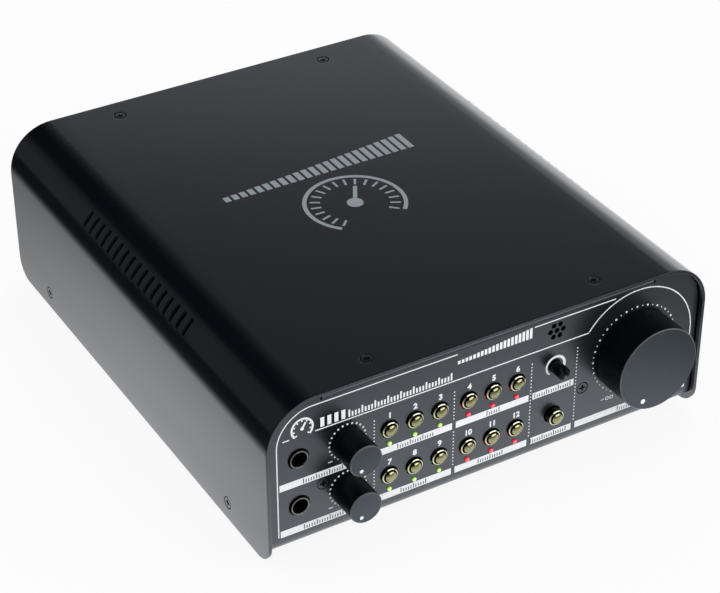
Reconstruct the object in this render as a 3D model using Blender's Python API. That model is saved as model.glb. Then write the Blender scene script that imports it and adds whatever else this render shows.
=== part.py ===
# Studio monitor controller: a folded steel case under a wrap-round vented cover, with a front panel
# punched for knobs, push buttons, lamps and headphone sockets, and a rear wall of three-pin connectors.
# Metres, +Z up. The front looks along -Y. The origin is the middle of the footprint, on the surface
# that the feet stand on. Every piece that sits in a wall is built along its own +Y, which points into
# the case, with its origin on the wall's outer face.

import math

import bmesh
import bpy

# Cover: one sheet folded over the top and both sides
CASE_WIDTH = 0.215
CASE_HEIGHT = 0.0783
COVER_DEPTH = 0.253
COVER_SHEET = 0.0015
CORNER_RADIUS = 0.022
LOWER_CORNER_RADIUS = 0.010
COVER_LIFT = 0.0035
TOP_SCREW_SIDE_SHARE = 0.5135
TOP_SCREW_FRONT = 0.0115
TOP_SCREW_REAR = 0.0127
SIDE_SCREW_RISE = 0.0089
SIDE_SCREW_END = 0.036

# Vent slots, cut across the rounded top corners
SLOT_COUNT = 17
SLOT_PITCH = 0.0061
SLOT_WIDTH = 0.0025
SLOT_LOW_ANGLE = math.radians(29)
SLOT_HIGH_ANGLE = math.radians(52)

# Chassis: one sheet folded into the front panel, the base and the rear wall
CHASSIS_SHEET = 0.0015
PANEL_RECESS = 0.0027
REAR_RECESS = 0.0027
BASE_RISE = 0.0027
LOWER_BEND = 0.0075
FLANGE_BEND = 0.003
FLANGE_DEPTH = 0.020
FLANGE_INSET = 0.004
NOTCH = 0.001
TAB_WIDTH = 0.016
TAB_BEND = 0.002
TAB_MARGIN = 0.005
TAB_RELIEF = 0.004

# Clearances shared by every seat
SLIP = 0.0006
GAP = 0.0003
OVERRUN = 0.002
SINK = 0.0002
WELD = 0.000001

# Countersunk cross-head screws
SCREW_HEAD = 0.0027
SCREW_SHANK = 0.0015
SCREW_LENGTH = 0.006
SCREW_FLUSH = 0.00005
CROSS_REACH = 0.0016
CROSS_WIDTH = 0.0007
CROSS_DEPTH = 0.0011

# Push-in rubber feet
FOOT_RADIUS = 0.009
FOOT_TAPER = 0.001
FOOT_NECK = 0.0025
FOOT_BARB = 0.0038
FOOT_BARB_HEIGHT = 0.0016
FOOT_SIDE_INSET = 0.0225
FOOT_END_INSET = 0.0315

# Places on the front panel, as shares of its half width and of the case's height
UPPER_BUTTON_SHARE = 0.5977
LOWER_BUTTON_SHARE = 0.2950
UPPER_LAMP_SHARE = 0.5045
LOWER_LAMP_SHARE = 0.2043
UPPER_LEVEL_SHARE = 0.6169
LOWER_LEVEL_SHARE = 0.3142
BUTTON_COLUMN_SHARES = (-0.4725, -0.3581, -0.2438, -0.1110, 0.0026, 0.1157)
JACK_COLUMN_SHARE = -0.8710
LEVEL_COLUMN_SHARE = -0.6603
TALKBACK_COLUMN_SHARE = 0.2965
VOLUME_COLUMN_SHARE = 0.6869
VOLUME_HEIGHT_SHARE = 0.5402
MIC_HEIGHT_SHARE = 0.8467
PANEL_SCREW_SHARES = (-0.7647, 0.4402)
PANEL_SCREW_HEIGHT_SHARE = 0.3972

# Push buttons: a domed cap on a stem that slides in its switch
BUTTON_RADIUS = 0.0037
BUTTON_HOLE_GAP = 0.0006
BUTTON_LENGTH = 0.0062
BUTTON_EDGE = 0.0005
BUTTON_STEM = 0.0015
BUTTON_STEM_LENGTH = 0.0065
BUTTON_OUT = 0.0048
BUTTON_LATCHED = 0.0025
BUTTON_OVERTRAVEL = 0.0007
SWITCH_WIDTH = 0.0086

# Indicator lamps
LAMP_RADIUS = 0.0010
LAMP_PROUD = 0.0010
LAMP_DOME = 0.0005

# Rotary controls: radius and height of each knob, and the control behind it
VOLUME_KNOB_RADIUS = 0.0198
VOLUME_KNOB_HEIGHT = 0.0170
VOLUME_SHAFT = 0.0030
VOLUME_BUSH = 0.0045
VOLUME_NUT = 0.0070
VOLUME_BODY = 0.022
LEVEL_KNOB_RADIUS = 0.0074
LEVEL_KNOB_HEIGHT = 0.0146
LEVEL_SHAFT = 0.0020
LEVEL_BUSH = 0.0032
LEVEL_NUT = 0.0043
LEVEL_BODY = 0.011
KNOB_GAP = 0.0010
KNOB_EDGE = 0.0006
KNOB_DRAFT = 0.0002
KNOB_RECESS_WALL = 0.0006
BUSH_REACH = 0.0048
CONTROL_CORNER = 0.0015
NUT_THICKNESS = 0.0020
SHAFT_SHARE = 0.7
DOT_RADIUS = 0.0008
DOT_DEPTH = 0.0004
VOLUME_DOT_SHARE = 0.833
LEVEL_DOT_SHARE = 0.662
DOT_ANGLE = math.radians(-150)

# Talkback level control: a slim slotted shaft with no knob
TALKBACK_SHAFT = 0.0029
TALKBACK_PROUD = 0.0073
TALKBACK_EDGE = 0.0004
TALKBACK_SLOT_WIDTH = 0.0020
TALKBACK_SLOT_DEPTH = 0.0017
TALKBACK_SLOT_ANGLE = math.radians(112)

# Headphone sockets for a 6.35 mm plug
JACK_NOSE = 0.0043
JACK_NOSE_GAP = 0.0006
JACK_NOSE_PROUD = 0.0010
JACK_NOSE_EDGE = 0.0004
JACK_BORE = 0.0035
JACK_BORE_DEPTH = 0.022
JACK_BODY_WIDTH = 0.014
JACK_BODY_HEIGHT = 0.016
JACK_BODY_DEPTH = 0.026

# Microphone behind a ring of holes round a middle one
MIC_RING_HOLES = 6
MIC_HOLE = 0.00125
MIC_HOLE_PITCH = 0.0032
MIC_RADIUS = 0.0048
MIC_LENGTH = 0.0065
MIC_BOOT = 0.0036

# Circuit boards
BOARD_SHEET = 0.0016
BOARD_SETBACK = 0.0135
BOARD_MARGIN = 0.003
SPACER_RADIUS = 0.0025
STANDOFF_HEIGHT = 0.006
STANDOFF_RADIUS = 0.003
PEG_RADIUS = 0.0013
PEG_PROUD = 0.0012
PEG_INSET = 0.008
MAIN_BOARD_SIDE_SHARES = (-0.92, 0.08)
MAIN_BOARD_END_GAP = 0.007
MAIN_BOARD_FRONT_GAP = 0.036

# Pieces on the main board: half sizes and heights, and places as shares of the board
CAPACITOR_RADIUS = 0.0063
CAPACITOR_HEIGHT = 0.025
CAPACITOR_SHARES = ((0.88, 0.14), (0.88, 0.27), (0.88, 0.40), (0.88, 0.53))
RELAY_SIZE = (0.010, 0.015, 0.010)
RELAY_SHARES = ((0.14, 0.62), (0.28, 0.62), (0.42, 0.62), (0.56, 0.62), (0.70, 0.62), (0.84, 0.70))
CHIP_SIZE = (0.007, 0.010, 0.0035)
CHIP_SHARES = ((0.16, 0.22), (0.16, 0.40), (0.36, 0.22), (0.36, 0.40), (0.56, 0.22), (0.56, 0.40))

# Toroidal mains transformer, held by a dished washer on a bolt
TOROID_RADIUS = 0.038
TOROID_BORE = 0.010
TOROID_HEIGHT = 0.034
TOROID_EDGE = 0.007
TOROID_SIDE_SHARE = 0.55
TOROID_PLACE_SHARE = 0.10
BOLT_RADIUS = 0.0025
BOLT_HEAD = 0.0045
BOLT_HEAD_HEIGHT = 0.002
WASHER_RADIUS = 0.020
WASHER_SHEET = 0.0015
WASHER_NUT = 0.0045
WASHER_NUT_HEIGHT = 0.004

# Three-pin connectors in two rows on the rear wall
CONNECTOR_ROW_SHARES = (0.3346, 0.7331)
CONNECTOR_FIRST_SHARE = -0.759
CONNECTOR_PITCH_SHARE = 0.2609
CONNECTOR_COLUMNS = 5
CONNECTOR_SIDE_GAP = 0.0035
CONNECTOR_ROW_GAP = 0.0012
CONNECTOR_FLANGE = 0.0020
CONNECTOR_CORNER = 0.003
CONNECTOR_BODY = 0.0105
CONNECTOR_DEPTH = 0.020
CONNECTOR_CAVITY = 0.0093
CONNECTOR_CAVITY_DEPTH = 0.0105
CONNECTOR_INSERT = 0.0079
PIN_RADIUS = 0.0012
PIN_HOLE = 0.0015
PIN_SHARES = ((-0.42, 0.13), (0.42, 0.13), (0.0, -0.48))
PIN_SETBACK = 0.0012
LATCH_WIDTH = 0.0075
LATCH_HEIGHT = 0.0032
LATCH_PROUD = 0.0058

# Mains inlet with its power rocker
INLET_SIDE_SHARE = 0.712
INLET_HEIGHT_SHARE = 0.358
INLET_HEIGHT = 0.030
INLET_SOCKET_MARGIN = 0.00225
INLET_ROCKER_MARGIN = 0.0043
INLET_WEB = 0.00855
INLET_FLANGE = 0.0025
INLET_RIM = 0.002
INLET_CORNER = 0.002
INLET_DEPTH = 0.027
SOCKET_WIDTH = 0.0245
SOCKET_HEIGHT = 0.0170
SOCKET_CHAMFER = 0.0050
SOCKET_DEPTH = 0.0145
BLADE_WIDTH = 0.0020
BLADE_HEIGHT = 0.0040
BLADE_SPACING = 0.0070
BLADE_OFFSET = 0.0020
BLADE_SETBACK = 0.0020
ROCKER_WIDTH = 0.0124
ROCKER_RADIUS = 0.0092
ROCKER_PIVOT = 0.0008
ROCKER_TILT = math.radians(8)
ROCKER_EAR_ANGLE = math.radians(17)
ROCKER_HEEL_ANGLE = math.radians(26)
ROCKER_DIP = 0.0012
ROCKER_POCKET_DEPTH = 0.0095

# Small sockets on the rear wall: bore, nose, nut, body and depth of each
AUX_BORE = 0.0019
AUX_NOSE = 0.0029
AUX_NUT = 0.0042
AUX_BODY = 0.0045
AUX_DEPTH = 0.016
FOOT_JACK_BORE = 0.0035
FOOT_JACK_NOSE = 0.0047
FOOT_JACK_NUT = 0.0070
FOOT_JACK_BODY = 0.0078
FOOT_JACK_DEPTH = 0.026
REAR_JACK_PROUD = 0.0030
REAR_JACK_SHARES = (0.60, 0.80)
REAR_JACK_HEIGHT_SHARE = 0.755
REAR_JACK_WALL = 0.002

# Facets around a curve
BEND_STEPS = 4
COVER_STEPS = 7
CORNER_STEPS = 3
EDGE_STEPS = 2
FINE_STEPS = 26
KNOB_STEPS = 16
ROUND_STEPS = 10
SMALL_STEPS = 8
LAMP_STEPS = 6
CONNECTOR_STEPS = 12

# Heights, worked out from the sizes above
COVER_TOP = COVER_LIFT + CASE_HEIGHT
BASE_UNDER = COVER_LIFT + BASE_RISE
BASE_TOP = BASE_UNDER + CHASSIS_SHEET
PANEL_TOP = COVER_TOP - COVER_SHEET - SLIP
PANEL_HALF = CASE_WIDTH / 2 - COVER_SHEET - SLIP
PANEL_CORNER = CORNER_RADIUS - COVER_SHEET - SLIP
FLANGE_HALF = PANEL_HALF - PANEL_CORNER - FLANGE_INSET - NOTCH

# The mains inlet's width, and the middles of its socket and its rocker to either side of its own
INLET_HOLDS = SOCKET_WIDTH + INLET_WEB + ROCKER_WIDTH
INLET_WIDTH = INLET_SOCKET_MARGIN + INLET_HOLDS + INLET_ROCKER_MARGIN
SOCKET_OFFSET = (INLET_WIDTH - SOCKET_WIDTH) / 2 - INLET_SOCKET_MARGIN
ROCKER_OFFSET = (INLET_WIDTH - ROCKER_WIDTH) / 2 - INLET_ROCKER_MARGIN

# Depths: the knobs in front and the latches behind reach as far from the origin
FRONT_REACH = VOLUME_KNOB_HEIGHT + KNOB_GAP - PANEL_RECESS
REAR_REACH = LATCH_PROUD - REAR_RECESS
CASE_Y = (FRONT_REACH - REAR_REACH) / 2
COVER_FRONT = CASE_Y - COVER_DEPTH / 2
COVER_REAR = CASE_Y + COVER_DEPTH / 2
PANEL_FRONT = COVER_FRONT + PANEL_RECESS
PANEL_REAR = COVER_REAR - REAR_RECESS

# Where local +Y, which points into the case, turns to on each wall
TURN = {
    "front": (0, 0, 0),
    "rear": (0, 0, math.pi),
    "left": (0, 0, -math.pi / 2),
    "right": (0, 0, math.pi / 2),
    "top": (-math.pi / 2, 0, 0),
    "under": (math.pi / 2, 0, 0),
}

# Finishes: base colour, roughness and metallic value
FINISHES = {
    "satin_black": ((0.016, 0.017, 0.020), 0.42, 0.0),
    "panel_grey": ((0.060, 0.064, 0.072), 0.50, 0.0),
    "screw_black": ((0.020, 0.020, 0.022), 0.35, 0.8),
    "knob_grey": ((0.045, 0.050, 0.058), 0.55, 0.0),
    "gold_chrome": ((0.62, 0.58, 0.36), 0.12, 1.0),
    "black_plastic": ((0.012, 0.012, 0.013), 0.45, 0.0),
    "rubber": ((0.020, 0.020, 0.020), 0.85, 0.0),
    "board_green": ((0.020, 0.110, 0.045), 0.45, 0.0),
    "nickel": ((0.60, 0.60, 0.58), 0.25, 1.0),
    "tape_yellow": ((0.62, 0.48, 0.12), 0.50, 0.0),
    "steel": ((0.45, 0.46, 0.47), 0.35, 1.0),
}


def clear_scene():
    for obj in list(bpy.data.objects):
        bpy.data.objects.remove(obj, do_unlink=True)


def finish(name):
    """The named finish as a material, made the first time that it is asked for."""
    if name in bpy.data.materials:
        return bpy.data.materials[name]
    colour, roughness, metallic = FINISHES[name]
    material = bpy.data.materials.new(name)
    material.use_nodes = True
    shader = material.node_tree.nodes["Principled BSDF"]
    shader.inputs["Base Color"].default_value = (*colour, 1)
    shader.inputs["Roughness"].default_value = roughness
    shader.inputs["Metallic"].default_value = metallic
    return material


def arc(centre, radius, start, end, steps):
    """Points on an arc from one angle to the other, both ends included."""
    angles = [start + (end - start) * step / steps for step in range(steps + 1)]
    return [(centre[0] + radius * math.cos(a), centre[1] + radius * math.sin(a)) for a in angles]


def rectangle(width, height, centre=(0, 0)):
    x, z = width / 2, height / 2
    return [(centre[0] + sx * x, centre[1] + sz * z) for sx, sz in ((-1, -1), (1, -1), (1, 1), (-1, 1))]


def rounded_rectangle(width, height, radius, steps=CORNER_STEPS):
    x, z = width / 2 - radius, height / 2 - radius
    outline = []
    for quarter, (sx, sz) in enumerate(((1, 1), (-1, 1), (-1, -1), (1, -1))):
        start = quarter * math.pi / 2
        outline += arc((sx * x, sz * z), radius, start, start + math.pi / 2, steps)
    return outline


def add_turned(bm, profile, steps, place=(0, 0, 0)):
    """Spin a profile of (radius, along) points about the local Y axis into a closed solid."""
    before = set(bm.verts)
    chain = [bm.verts.new((radius, along, 0)) for radius, along in profile]
    edges = [bm.edges.new(pair) for pair in zip(chain, chain[1:])]
    if profile[0][0] > 0:
        edges.append(bm.edges.new((chain[-1], chain[0])))
    turn = {"cent": (0, 0, 0), "axis": (0, 1, 0), "dvec": (0, 0, 0), "angle": 2 * math.pi}
    bmesh.ops.spin(bm, geom=chain + edges, steps=steps, use_merge=True, **turn)
    bmesh.ops.remove_doubles(bm, verts=[v for v in bm.verts if v not in before], dist=WELD)
    bmesh.ops.translate(bm, verts=[v for v in bm.verts if v not in before], vec=place)


def add_rod(bm, radius, start, end, steps, place=(0, 0, 0)):
    add_turned(bm, [(0, start), (radius, start), (radius, end), (0, end)], steps, place)


def add_prism(bm, outline, start, end, place=(0, 0, 0)):
    """Extrude an outline of local (x, z) points along Y, from start to end."""
    near = [bm.verts.new((place[0] + x, place[1] + start, place[2] + z)) for x, z in outline]
    far = [bm.verts.new((place[0] + x, place[1] + end, place[2] + z)) for x, z in outline]
    bm.faces.new(near)
    bm.faces.new(reversed(far))
    for index, corner in enumerate(near):
        after = (index + 1) % len(near)
        bm.faces.new((corner, far[index], far[after], near[after]))


def add_box(bm, low, high):
    outline = [(low[0], low[2]), (high[0], low[2]), (high[0], high[2]), (low[0], high[2])]
    add_prism(bm, outline, low[1], high[1])


def turned_outline(outline, angle):
    """An outline of (x, z) points, turned about its own origin."""
    cosine, sine = math.cos(angle), math.sin(angle)
    return [(x * cosine - z * sine, x * sine + z * cosine) for x, z in outline]


def add_cross(bm, start, end):
    """The four-winged recess of a cross-head screw."""
    reach, half = CROSS_REACH, CROSS_WIDTH / 2
    wing = [(reach, -half), (reach, half), (half, half)]
    outline = []
    for quarter in range(4):
        outline += turned_outline(wing, quarter * math.pi / 2)
    add_prism(bm, outline, start, end)


def mesh_from(name, bm):
    bmesh.ops.recalc_face_normals(bm, faces=bm.faces)
    mesh = bpy.data.meshes.new(name)
    bm.to_mesh(mesh)
    bm.free()
    return mesh


def place_object(name, mesh, finish_name, place=(0, 0, 0), wall="front", tilt=0.0):
    """Put a mesh on a wall of the case, turned so that its +Y points into the case."""
    if not mesh.materials:
        mesh.materials.append(finish(finish_name))
    obj = bpy.data.objects.new(name, mesh)
    obj.location = place
    turn = TURN[wall]
    obj.rotation_euler = (turn[0] + tilt, turn[1], turn[2])
    bpy.context.scene.collection.objects.link(obj)
    return obj


def smooth(mesh, angle=math.radians(35)):
    mesh.shade_smooth()
    mesh.set_sharp_from_angle(angle=angle)
    return mesh


def combine(obj, bm, operation):
    """Join a helper solid to an object, or cut it out, with a live Boolean."""
    helper = bpy.data.objects.new(f"{obj.name}_{operation.lower()}", mesh_from(operation, bm))
    helper.location = obj.location
    helper.rotation_euler = obj.rotation_euler
    helper.hide_render = True
    helper.display_type = "WIRE"
    bpy.context.scene.collection.objects.link(helper)
    modifier = obj.modifiers.new(operation.title(), "BOOLEAN")
    modifier.operation = operation
    modifier.solver = "EXACT"
    modifier.object = helper
    return helper


def worked_mesh(name, base, joined=None, cut=None):
    """Work the Booleans out once, for a piece whose copies share one mesh."""
    pattern = place_object(name, mesh_from(name, base), "steel")
    pattern.data.materials.clear()
    helpers = []
    if joined:
        helpers.append(combine(pattern, joined, "UNION"))
    if cut:
        helpers.append(combine(pattern, cut, "DIFFERENCE"))
    graph = bpy.context.evaluated_depsgraph_get()
    mesh = bpy.data.meshes.new_from_object(pattern.evaluated_get(graph))
    for helper in [pattern, *helpers]:
        bpy.data.objects.remove(helper, do_unlink=True)
    mesh.name = name
    mesh.materials.clear()
    return smooth(mesh)


def add_sheet_face(bm, points):
    bm.faces.new([bm.verts.new(point) for point in points])


def fold(name, bm, thickness, outward, finish_name):
    """Weld the outer faces of a folded sheet and give it its thickness, inwards."""
    bmesh.ops.remove_doubles(bm, verts=bm.verts, dist=WELD)
    bmesh.ops.recalc_face_normals(bm, faces=bm.faces)
    outermost = max(bm.faces, key=lambda face: face.calc_center_median().dot(outward))
    if outermost.normal.dot(outward) < 0:
        bmesh.ops.reverse_faces(bm, faces=bm.faces)
    mesh = bpy.data.meshes.new(name)
    bm.to_mesh(mesh)
    bm.free()
    obj = place_object(name, smooth(mesh), finish_name)
    wall = obj.modifiers.new("Sheet", "SOLIDIFY")
    wall.thickness = thickness
    wall.offset = -1
    wall.use_even_offset = True
    return obj


def side_of(share):
    return share * PANEL_HALF


def height_of(share):
    return COVER_LIFT + share * CASE_HEIGHT


def on_panel(side_share, height_share):
    return (side_of(side_share), PANEL_FRONT, height_of(height_share))


def on_rear(side, height_share):
    return (side, PANEL_REAR, height_of(height_share))


def top_screw_places():
    side = TOP_SCREW_SIDE_SHARE * CASE_WIDTH / 2
    return {
        "cover_screw_front_left": (-side, COVER_FRONT + TOP_SCREW_FRONT, COVER_TOP),
        "cover_screw_front_right": (side, COVER_FRONT + TOP_SCREW_FRONT, COVER_TOP),
        "cover_screw_rear_left": (-side, COVER_REAR - TOP_SCREW_REAR, COVER_TOP),
        "cover_screw_rear_right": (side, COVER_REAR - TOP_SCREW_REAR, COVER_TOP),
    }


def side_screw_places():
    height = COVER_LIFT + SIDE_SCREW_RISE
    ends = {"front": COVER_FRONT + SIDE_SCREW_END, "rear": COVER_REAR - SIDE_SCREW_END}
    sides = {"left": -CASE_WIDTH / 2, "right": CASE_WIDTH / 2}
    return {(side, end): (x, y, height) for side, x in sides.items() for end, y in ends.items()}


def panel_screw_places():
    return [on_panel(share, PANEL_SCREW_HEIGHT_SHARE) for share in PANEL_SCREW_SHARES]


def button_places():
    """Each button's name and its place on the panel, and the place of the lamp below it."""
    names = (
        ("speaker_a", "speaker_b", "speaker_c", "cut_left", "mute", "cut_right"),
        ("input_1", "input_2", "input_aux", "phase_reverse", "mono", "dim"),
    )
    rows = ((UPPER_BUTTON_SHARE, UPPER_LAMP_SHARE), (LOWER_BUTTON_SHARE, LOWER_LAMP_SHARE))
    places = []
    for row_names, (height, lamp_height) in zip(names, rows):
        for name, column in zip(row_names, BUTTON_COLUMN_SHARES):
            places.append((f"button_{name}", on_panel(column, height), on_panel(column, lamp_height)))
    return places


def connector_places():
    """Each three-pin connector's name, kind and place: outputs in the first three columns."""
    places = []
    outputs = iter([f"output_{pair}_{side}" for pair in "abc" for side in ("left", "right")])
    inputs = iter([f"input_{pair}_{side}" for pair in "12" for side in ("left", "right")])
    for column in range(CONNECTOR_COLUMNS):
        side = side_of(CONNECTOR_FIRST_SHARE + column * CONNECTOR_PITCH_SHARE)
        for row in CONNECTOR_ROW_SHARES:
            kind = "male" if column < len("abc") else "female"
            name = next(outputs if kind == "male" else inputs)
            places.append((f"{name}_connector", kind, on_rear(side, row)))
    return places


def countersink(bm, place, wall, depth):
    """The clearance hole of a countersunk screw, from past its head to the given depth."""
    hole = bmesh.new()
    head, shank = SCREW_HEAD + GAP, SCREW_SHANK + GAP
    cone = SCREW_HEAD - SCREW_SHANK
    profile = [(0, -OVERRUN), (head, -OVERRUN), (head, 0), (shank, cone), (shank, depth), (0, depth)]
    add_turned(hole, profile, ROUND_STEPS)
    add_placed(bm, hole, place, wall)


def add_placed(bm, piece, place, wall):
    """Add a finished shape, built along its own +Y, to another at a place on a wall."""
    helper = bpy.data.objects.new("placer", None)
    helper.location = place
    helper.rotation_euler = TURN[wall]
    mesh = mesh_from("placed", piece)
    mesh.transform(helper.matrix_basis)
    bm.from_mesh(mesh)
    bpy.data.objects.remove(helper)
    bpy.data.meshes.remove(mesh)


def make_cover():
    """The sheet over the top and sides: two plates with rounded lower corners and a rolled top."""
    bm = bmesh.new()
    half = CASE_WIDTH / 2
    shoulder = COVER_TOP - CORNER_RADIUS
    low = COVER_LIFT + LOWER_CORNER_RADIUS
    radius, down = LOWER_CORNER_RADIUS, 1.5 * math.pi
    front = arc((COVER_FRONT + radius, low), radius, math.pi, down, BEND_STEPS)
    rear = arc((COVER_REAR - radius, low), radius, down, 2 * math.pi, BEND_STEPS)
    plate = [(COVER_FRONT, shoulder), *front, *rear, (COVER_REAR, shoulder)]
    for side in (-half, half):
        add_sheet_face(bm, [(side, y, z) for y, z in plate])
    right = arc((half - CORNER_RADIUS, shoulder), CORNER_RADIUS, 0, math.pi / 2, COVER_STEPS)
    rolled = right + [(-x, z) for x, z in reversed(right)]
    for (x0, z0), (x1, z1) in zip(rolled, rolled[1:]):
        strip = [(x0, COVER_FRONT, z0), (x0, COVER_REAR, z0), (x1, COVER_REAR, z1), (x1, COVER_FRONT, z1)]
        add_sheet_face(bm, strip)
    cover = fold("cover", bm, COVER_SHEET, (0, 0, 1), "satin_black")

    cut = bmesh.new()
    add_vent_slots(cut)
    for place in top_screw_places().values():
        countersink(cut, place, "top", COVER_SHEET + OVERRUN)
    for (side, _), place in side_screw_places().items():
        countersink(cut, place, side, COVER_SHEET + OVERRUN)
    combine(cover, cut, "DIFFERENCE")


def add_vent_slots(bm):
    """A row of wedges across each rolled corner, wide enough to pass right through the sheet."""
    inner = CORNER_RADIUS - COVER_SHEET - OVERRUN
    outer = CORNER_RADIUS + OVERRUN
    axis_side, axis_height = CASE_WIDTH / 2 - CORNER_RADIUS, COVER_TOP - CORNER_RADIUS
    wedge = [
        (axis_side + radius * math.cos(angle), axis_height + radius * math.sin(angle))
        for radius, angle in (
            (inner, SLOT_LOW_ANGLE),
            (outer, SLOT_LOW_ANGLE),
            (outer, SLOT_HIGH_ANGLE),
            (inner, SLOT_HIGH_ANGLE),
        )
    ]
    for number in range(SLOT_COUNT):
        middle = CASE_Y + (number - (SLOT_COUNT - 1) / 2) * SLOT_PITCH
        start, end = middle - SLOT_WIDTH / 2, middle + SLOT_WIDTH / 2
        for side in (-1, 1):
            add_prism(bm, [(side * x, z) for x, z in wedge], start, end)


def wall_outline():
    """The outline of the front and rear walls: rounded upper corners, notched beside the flange."""
    bend_start = PANEL_TOP - FLANGE_BEND
    corner = (PANEL_HALF - PANEL_CORNER, PANEL_TOP - PANEL_CORNER)
    ear = [(FLANGE_HALF, bend_start), (FLANGE_HALF + NOTCH, bend_start), (FLANGE_HALF + NOTCH, PANEL_TOP)]
    right = [*ear, *reversed(arc(corner, PANEL_CORNER, 0, math.pi / 2, 2 * BEND_STEPS))]
    right.append((PANEL_HALF, BASE_UNDER + LOWER_BEND))
    return right + [(-x, z) for x, z in reversed(right)]


def base_outline():
    """The base between its two bends: stepped in at the sides, with a root for each side tab."""
    half, narrow = PANEL_HALF, PANEL_HALF - TAB_BEND
    front, rear = PANEL_FRONT + LOWER_BEND, PANEL_REAR - LOWER_BEND
    right = [(half, front), (half, front + TAB_RELIEF), (narrow, front + TAB_RELIEF)]
    for low, high in tab_spans():
        right += [(narrow, low), (narrow, high)]
    right += [(narrow, rear - TAB_RELIEF), (half, rear - TAB_RELIEF), (half, rear)]
    return right + [(-x, y) for x, y in reversed(right)]


def tab_spans():
    middles = (COVER_FRONT + SIDE_SCREW_END, COVER_REAR - SIDE_SCREW_END)
    return [(middle - TAB_WIDTH / 2, middle + TAB_WIDTH / 2) for middle in middles]


def make_chassis():
    """The folded sheet: front panel, base, rear wall, top flanges and side tabs, then its holes."""
    bm = bmesh.new()
    for wall, inward in ((PANEL_FRONT, 1), (PANEL_REAR, -1)):
        add_sheet_face(bm, [(x, wall, z) for x, z in wall_outline()])
        outward, quarter = (1 + inward) * math.pi / 2, inward * math.pi / 2
        centre = (wall + inward * LOWER_BEND, BASE_UNDER + LOWER_BEND)
        add_strip(bm, arc(centre, LOWER_BEND, outward, outward + quarter, BEND_STEPS), PANEL_HALF)
        centre = (wall + inward * FLANGE_BEND, PANEL_TOP - FLANGE_BEND)
        upper = arc(centre, FLANGE_BEND, outward, outward - quarter, BEND_STEPS)
        add_strip(bm, [*upper, (wall + inward * FLANGE_DEPTH, PANEL_TOP)], FLANGE_HALF)
    add_sheet_face(bm, [(x, y, BASE_UNDER) for x, y in base_outline()])
    tab_top = COVER_LIFT + SIDE_SCREW_RISE + TAB_MARGIN
    bend = arc((PANEL_HALF - TAB_BEND, BASE_UNDER + TAB_BEND), TAB_BEND, -math.pi / 2, 0, BEND_STEPS)
    bend.append((PANEL_HALF, tab_top))
    for low, high in tab_spans():
        for side in (-1, 1):
            for (x0, z0), (x1, z1) in zip(bend, bend[1:]):
                lower, upper = (side * x0, z0), (side * x1, z1)
                quad = [(lower, low), (upper, low), (upper, high), (lower, high)]
                add_sheet_face(bm, [(x, y, z) for (x, z), y in quad])
    chassis = fold("chassis", bm, CHASSIS_SHEET, (0, -1, 0), "panel_grey")
    combine(chassis, board_pegs(), "UNION")
    combine(chassis, chassis_holes(), "DIFFERENCE")


def add_strip(bm, points, half):
    """A strip of sheet of one width along a chain of (y, z) points."""
    for (y0, z0), (y1, z1) in zip(points, points[1:]):
        add_sheet_face(bm, [(-half, y0, z0), (half, y0, z0), (half, y1, z1), (-half, y1, z1)])


def board_span():
    """Where the main board lies: low and high corners in x and y."""
    low, high = (side_of(share) for share in MAIN_BOARD_SIDE_SHARES)
    return (low, PANEL_FRONT + MAIN_BOARD_FRONT_GAP), (high, PANEL_REAR - MAIN_BOARD_END_GAP)


def peg_places():
    low, high = board_span()
    sides = (low[0] + PEG_INSET, high[0] - PEG_INSET)
    ends = (low[1] + PEG_INSET, high[1] - PEG_INSET)
    return [(x, y) for x in sides for y in ends]


def board_pegs():
    """Shouldered pegs that hold the main board off the base."""
    bm = bmesh.new()
    shoulder = STANDOFF_HEIGHT - GAP
    tip = STANDOFF_HEIGHT + BOARD_SHEET + PEG_PROUD
    profile = [(0, -SINK), (STANDOFF_RADIUS, -SINK), (STANDOFF_RADIUS, shoulder), (PEG_RADIUS, shoulder)]
    profile += [(PEG_RADIUS, tip), (0, tip)]
    for x, y in peg_places():
        peg = bmesh.new()
        add_turned(peg, profile, SMALL_STEPS)
        add_placed(bm, peg, (x, y, BASE_TOP), "under")
    return bm


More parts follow.
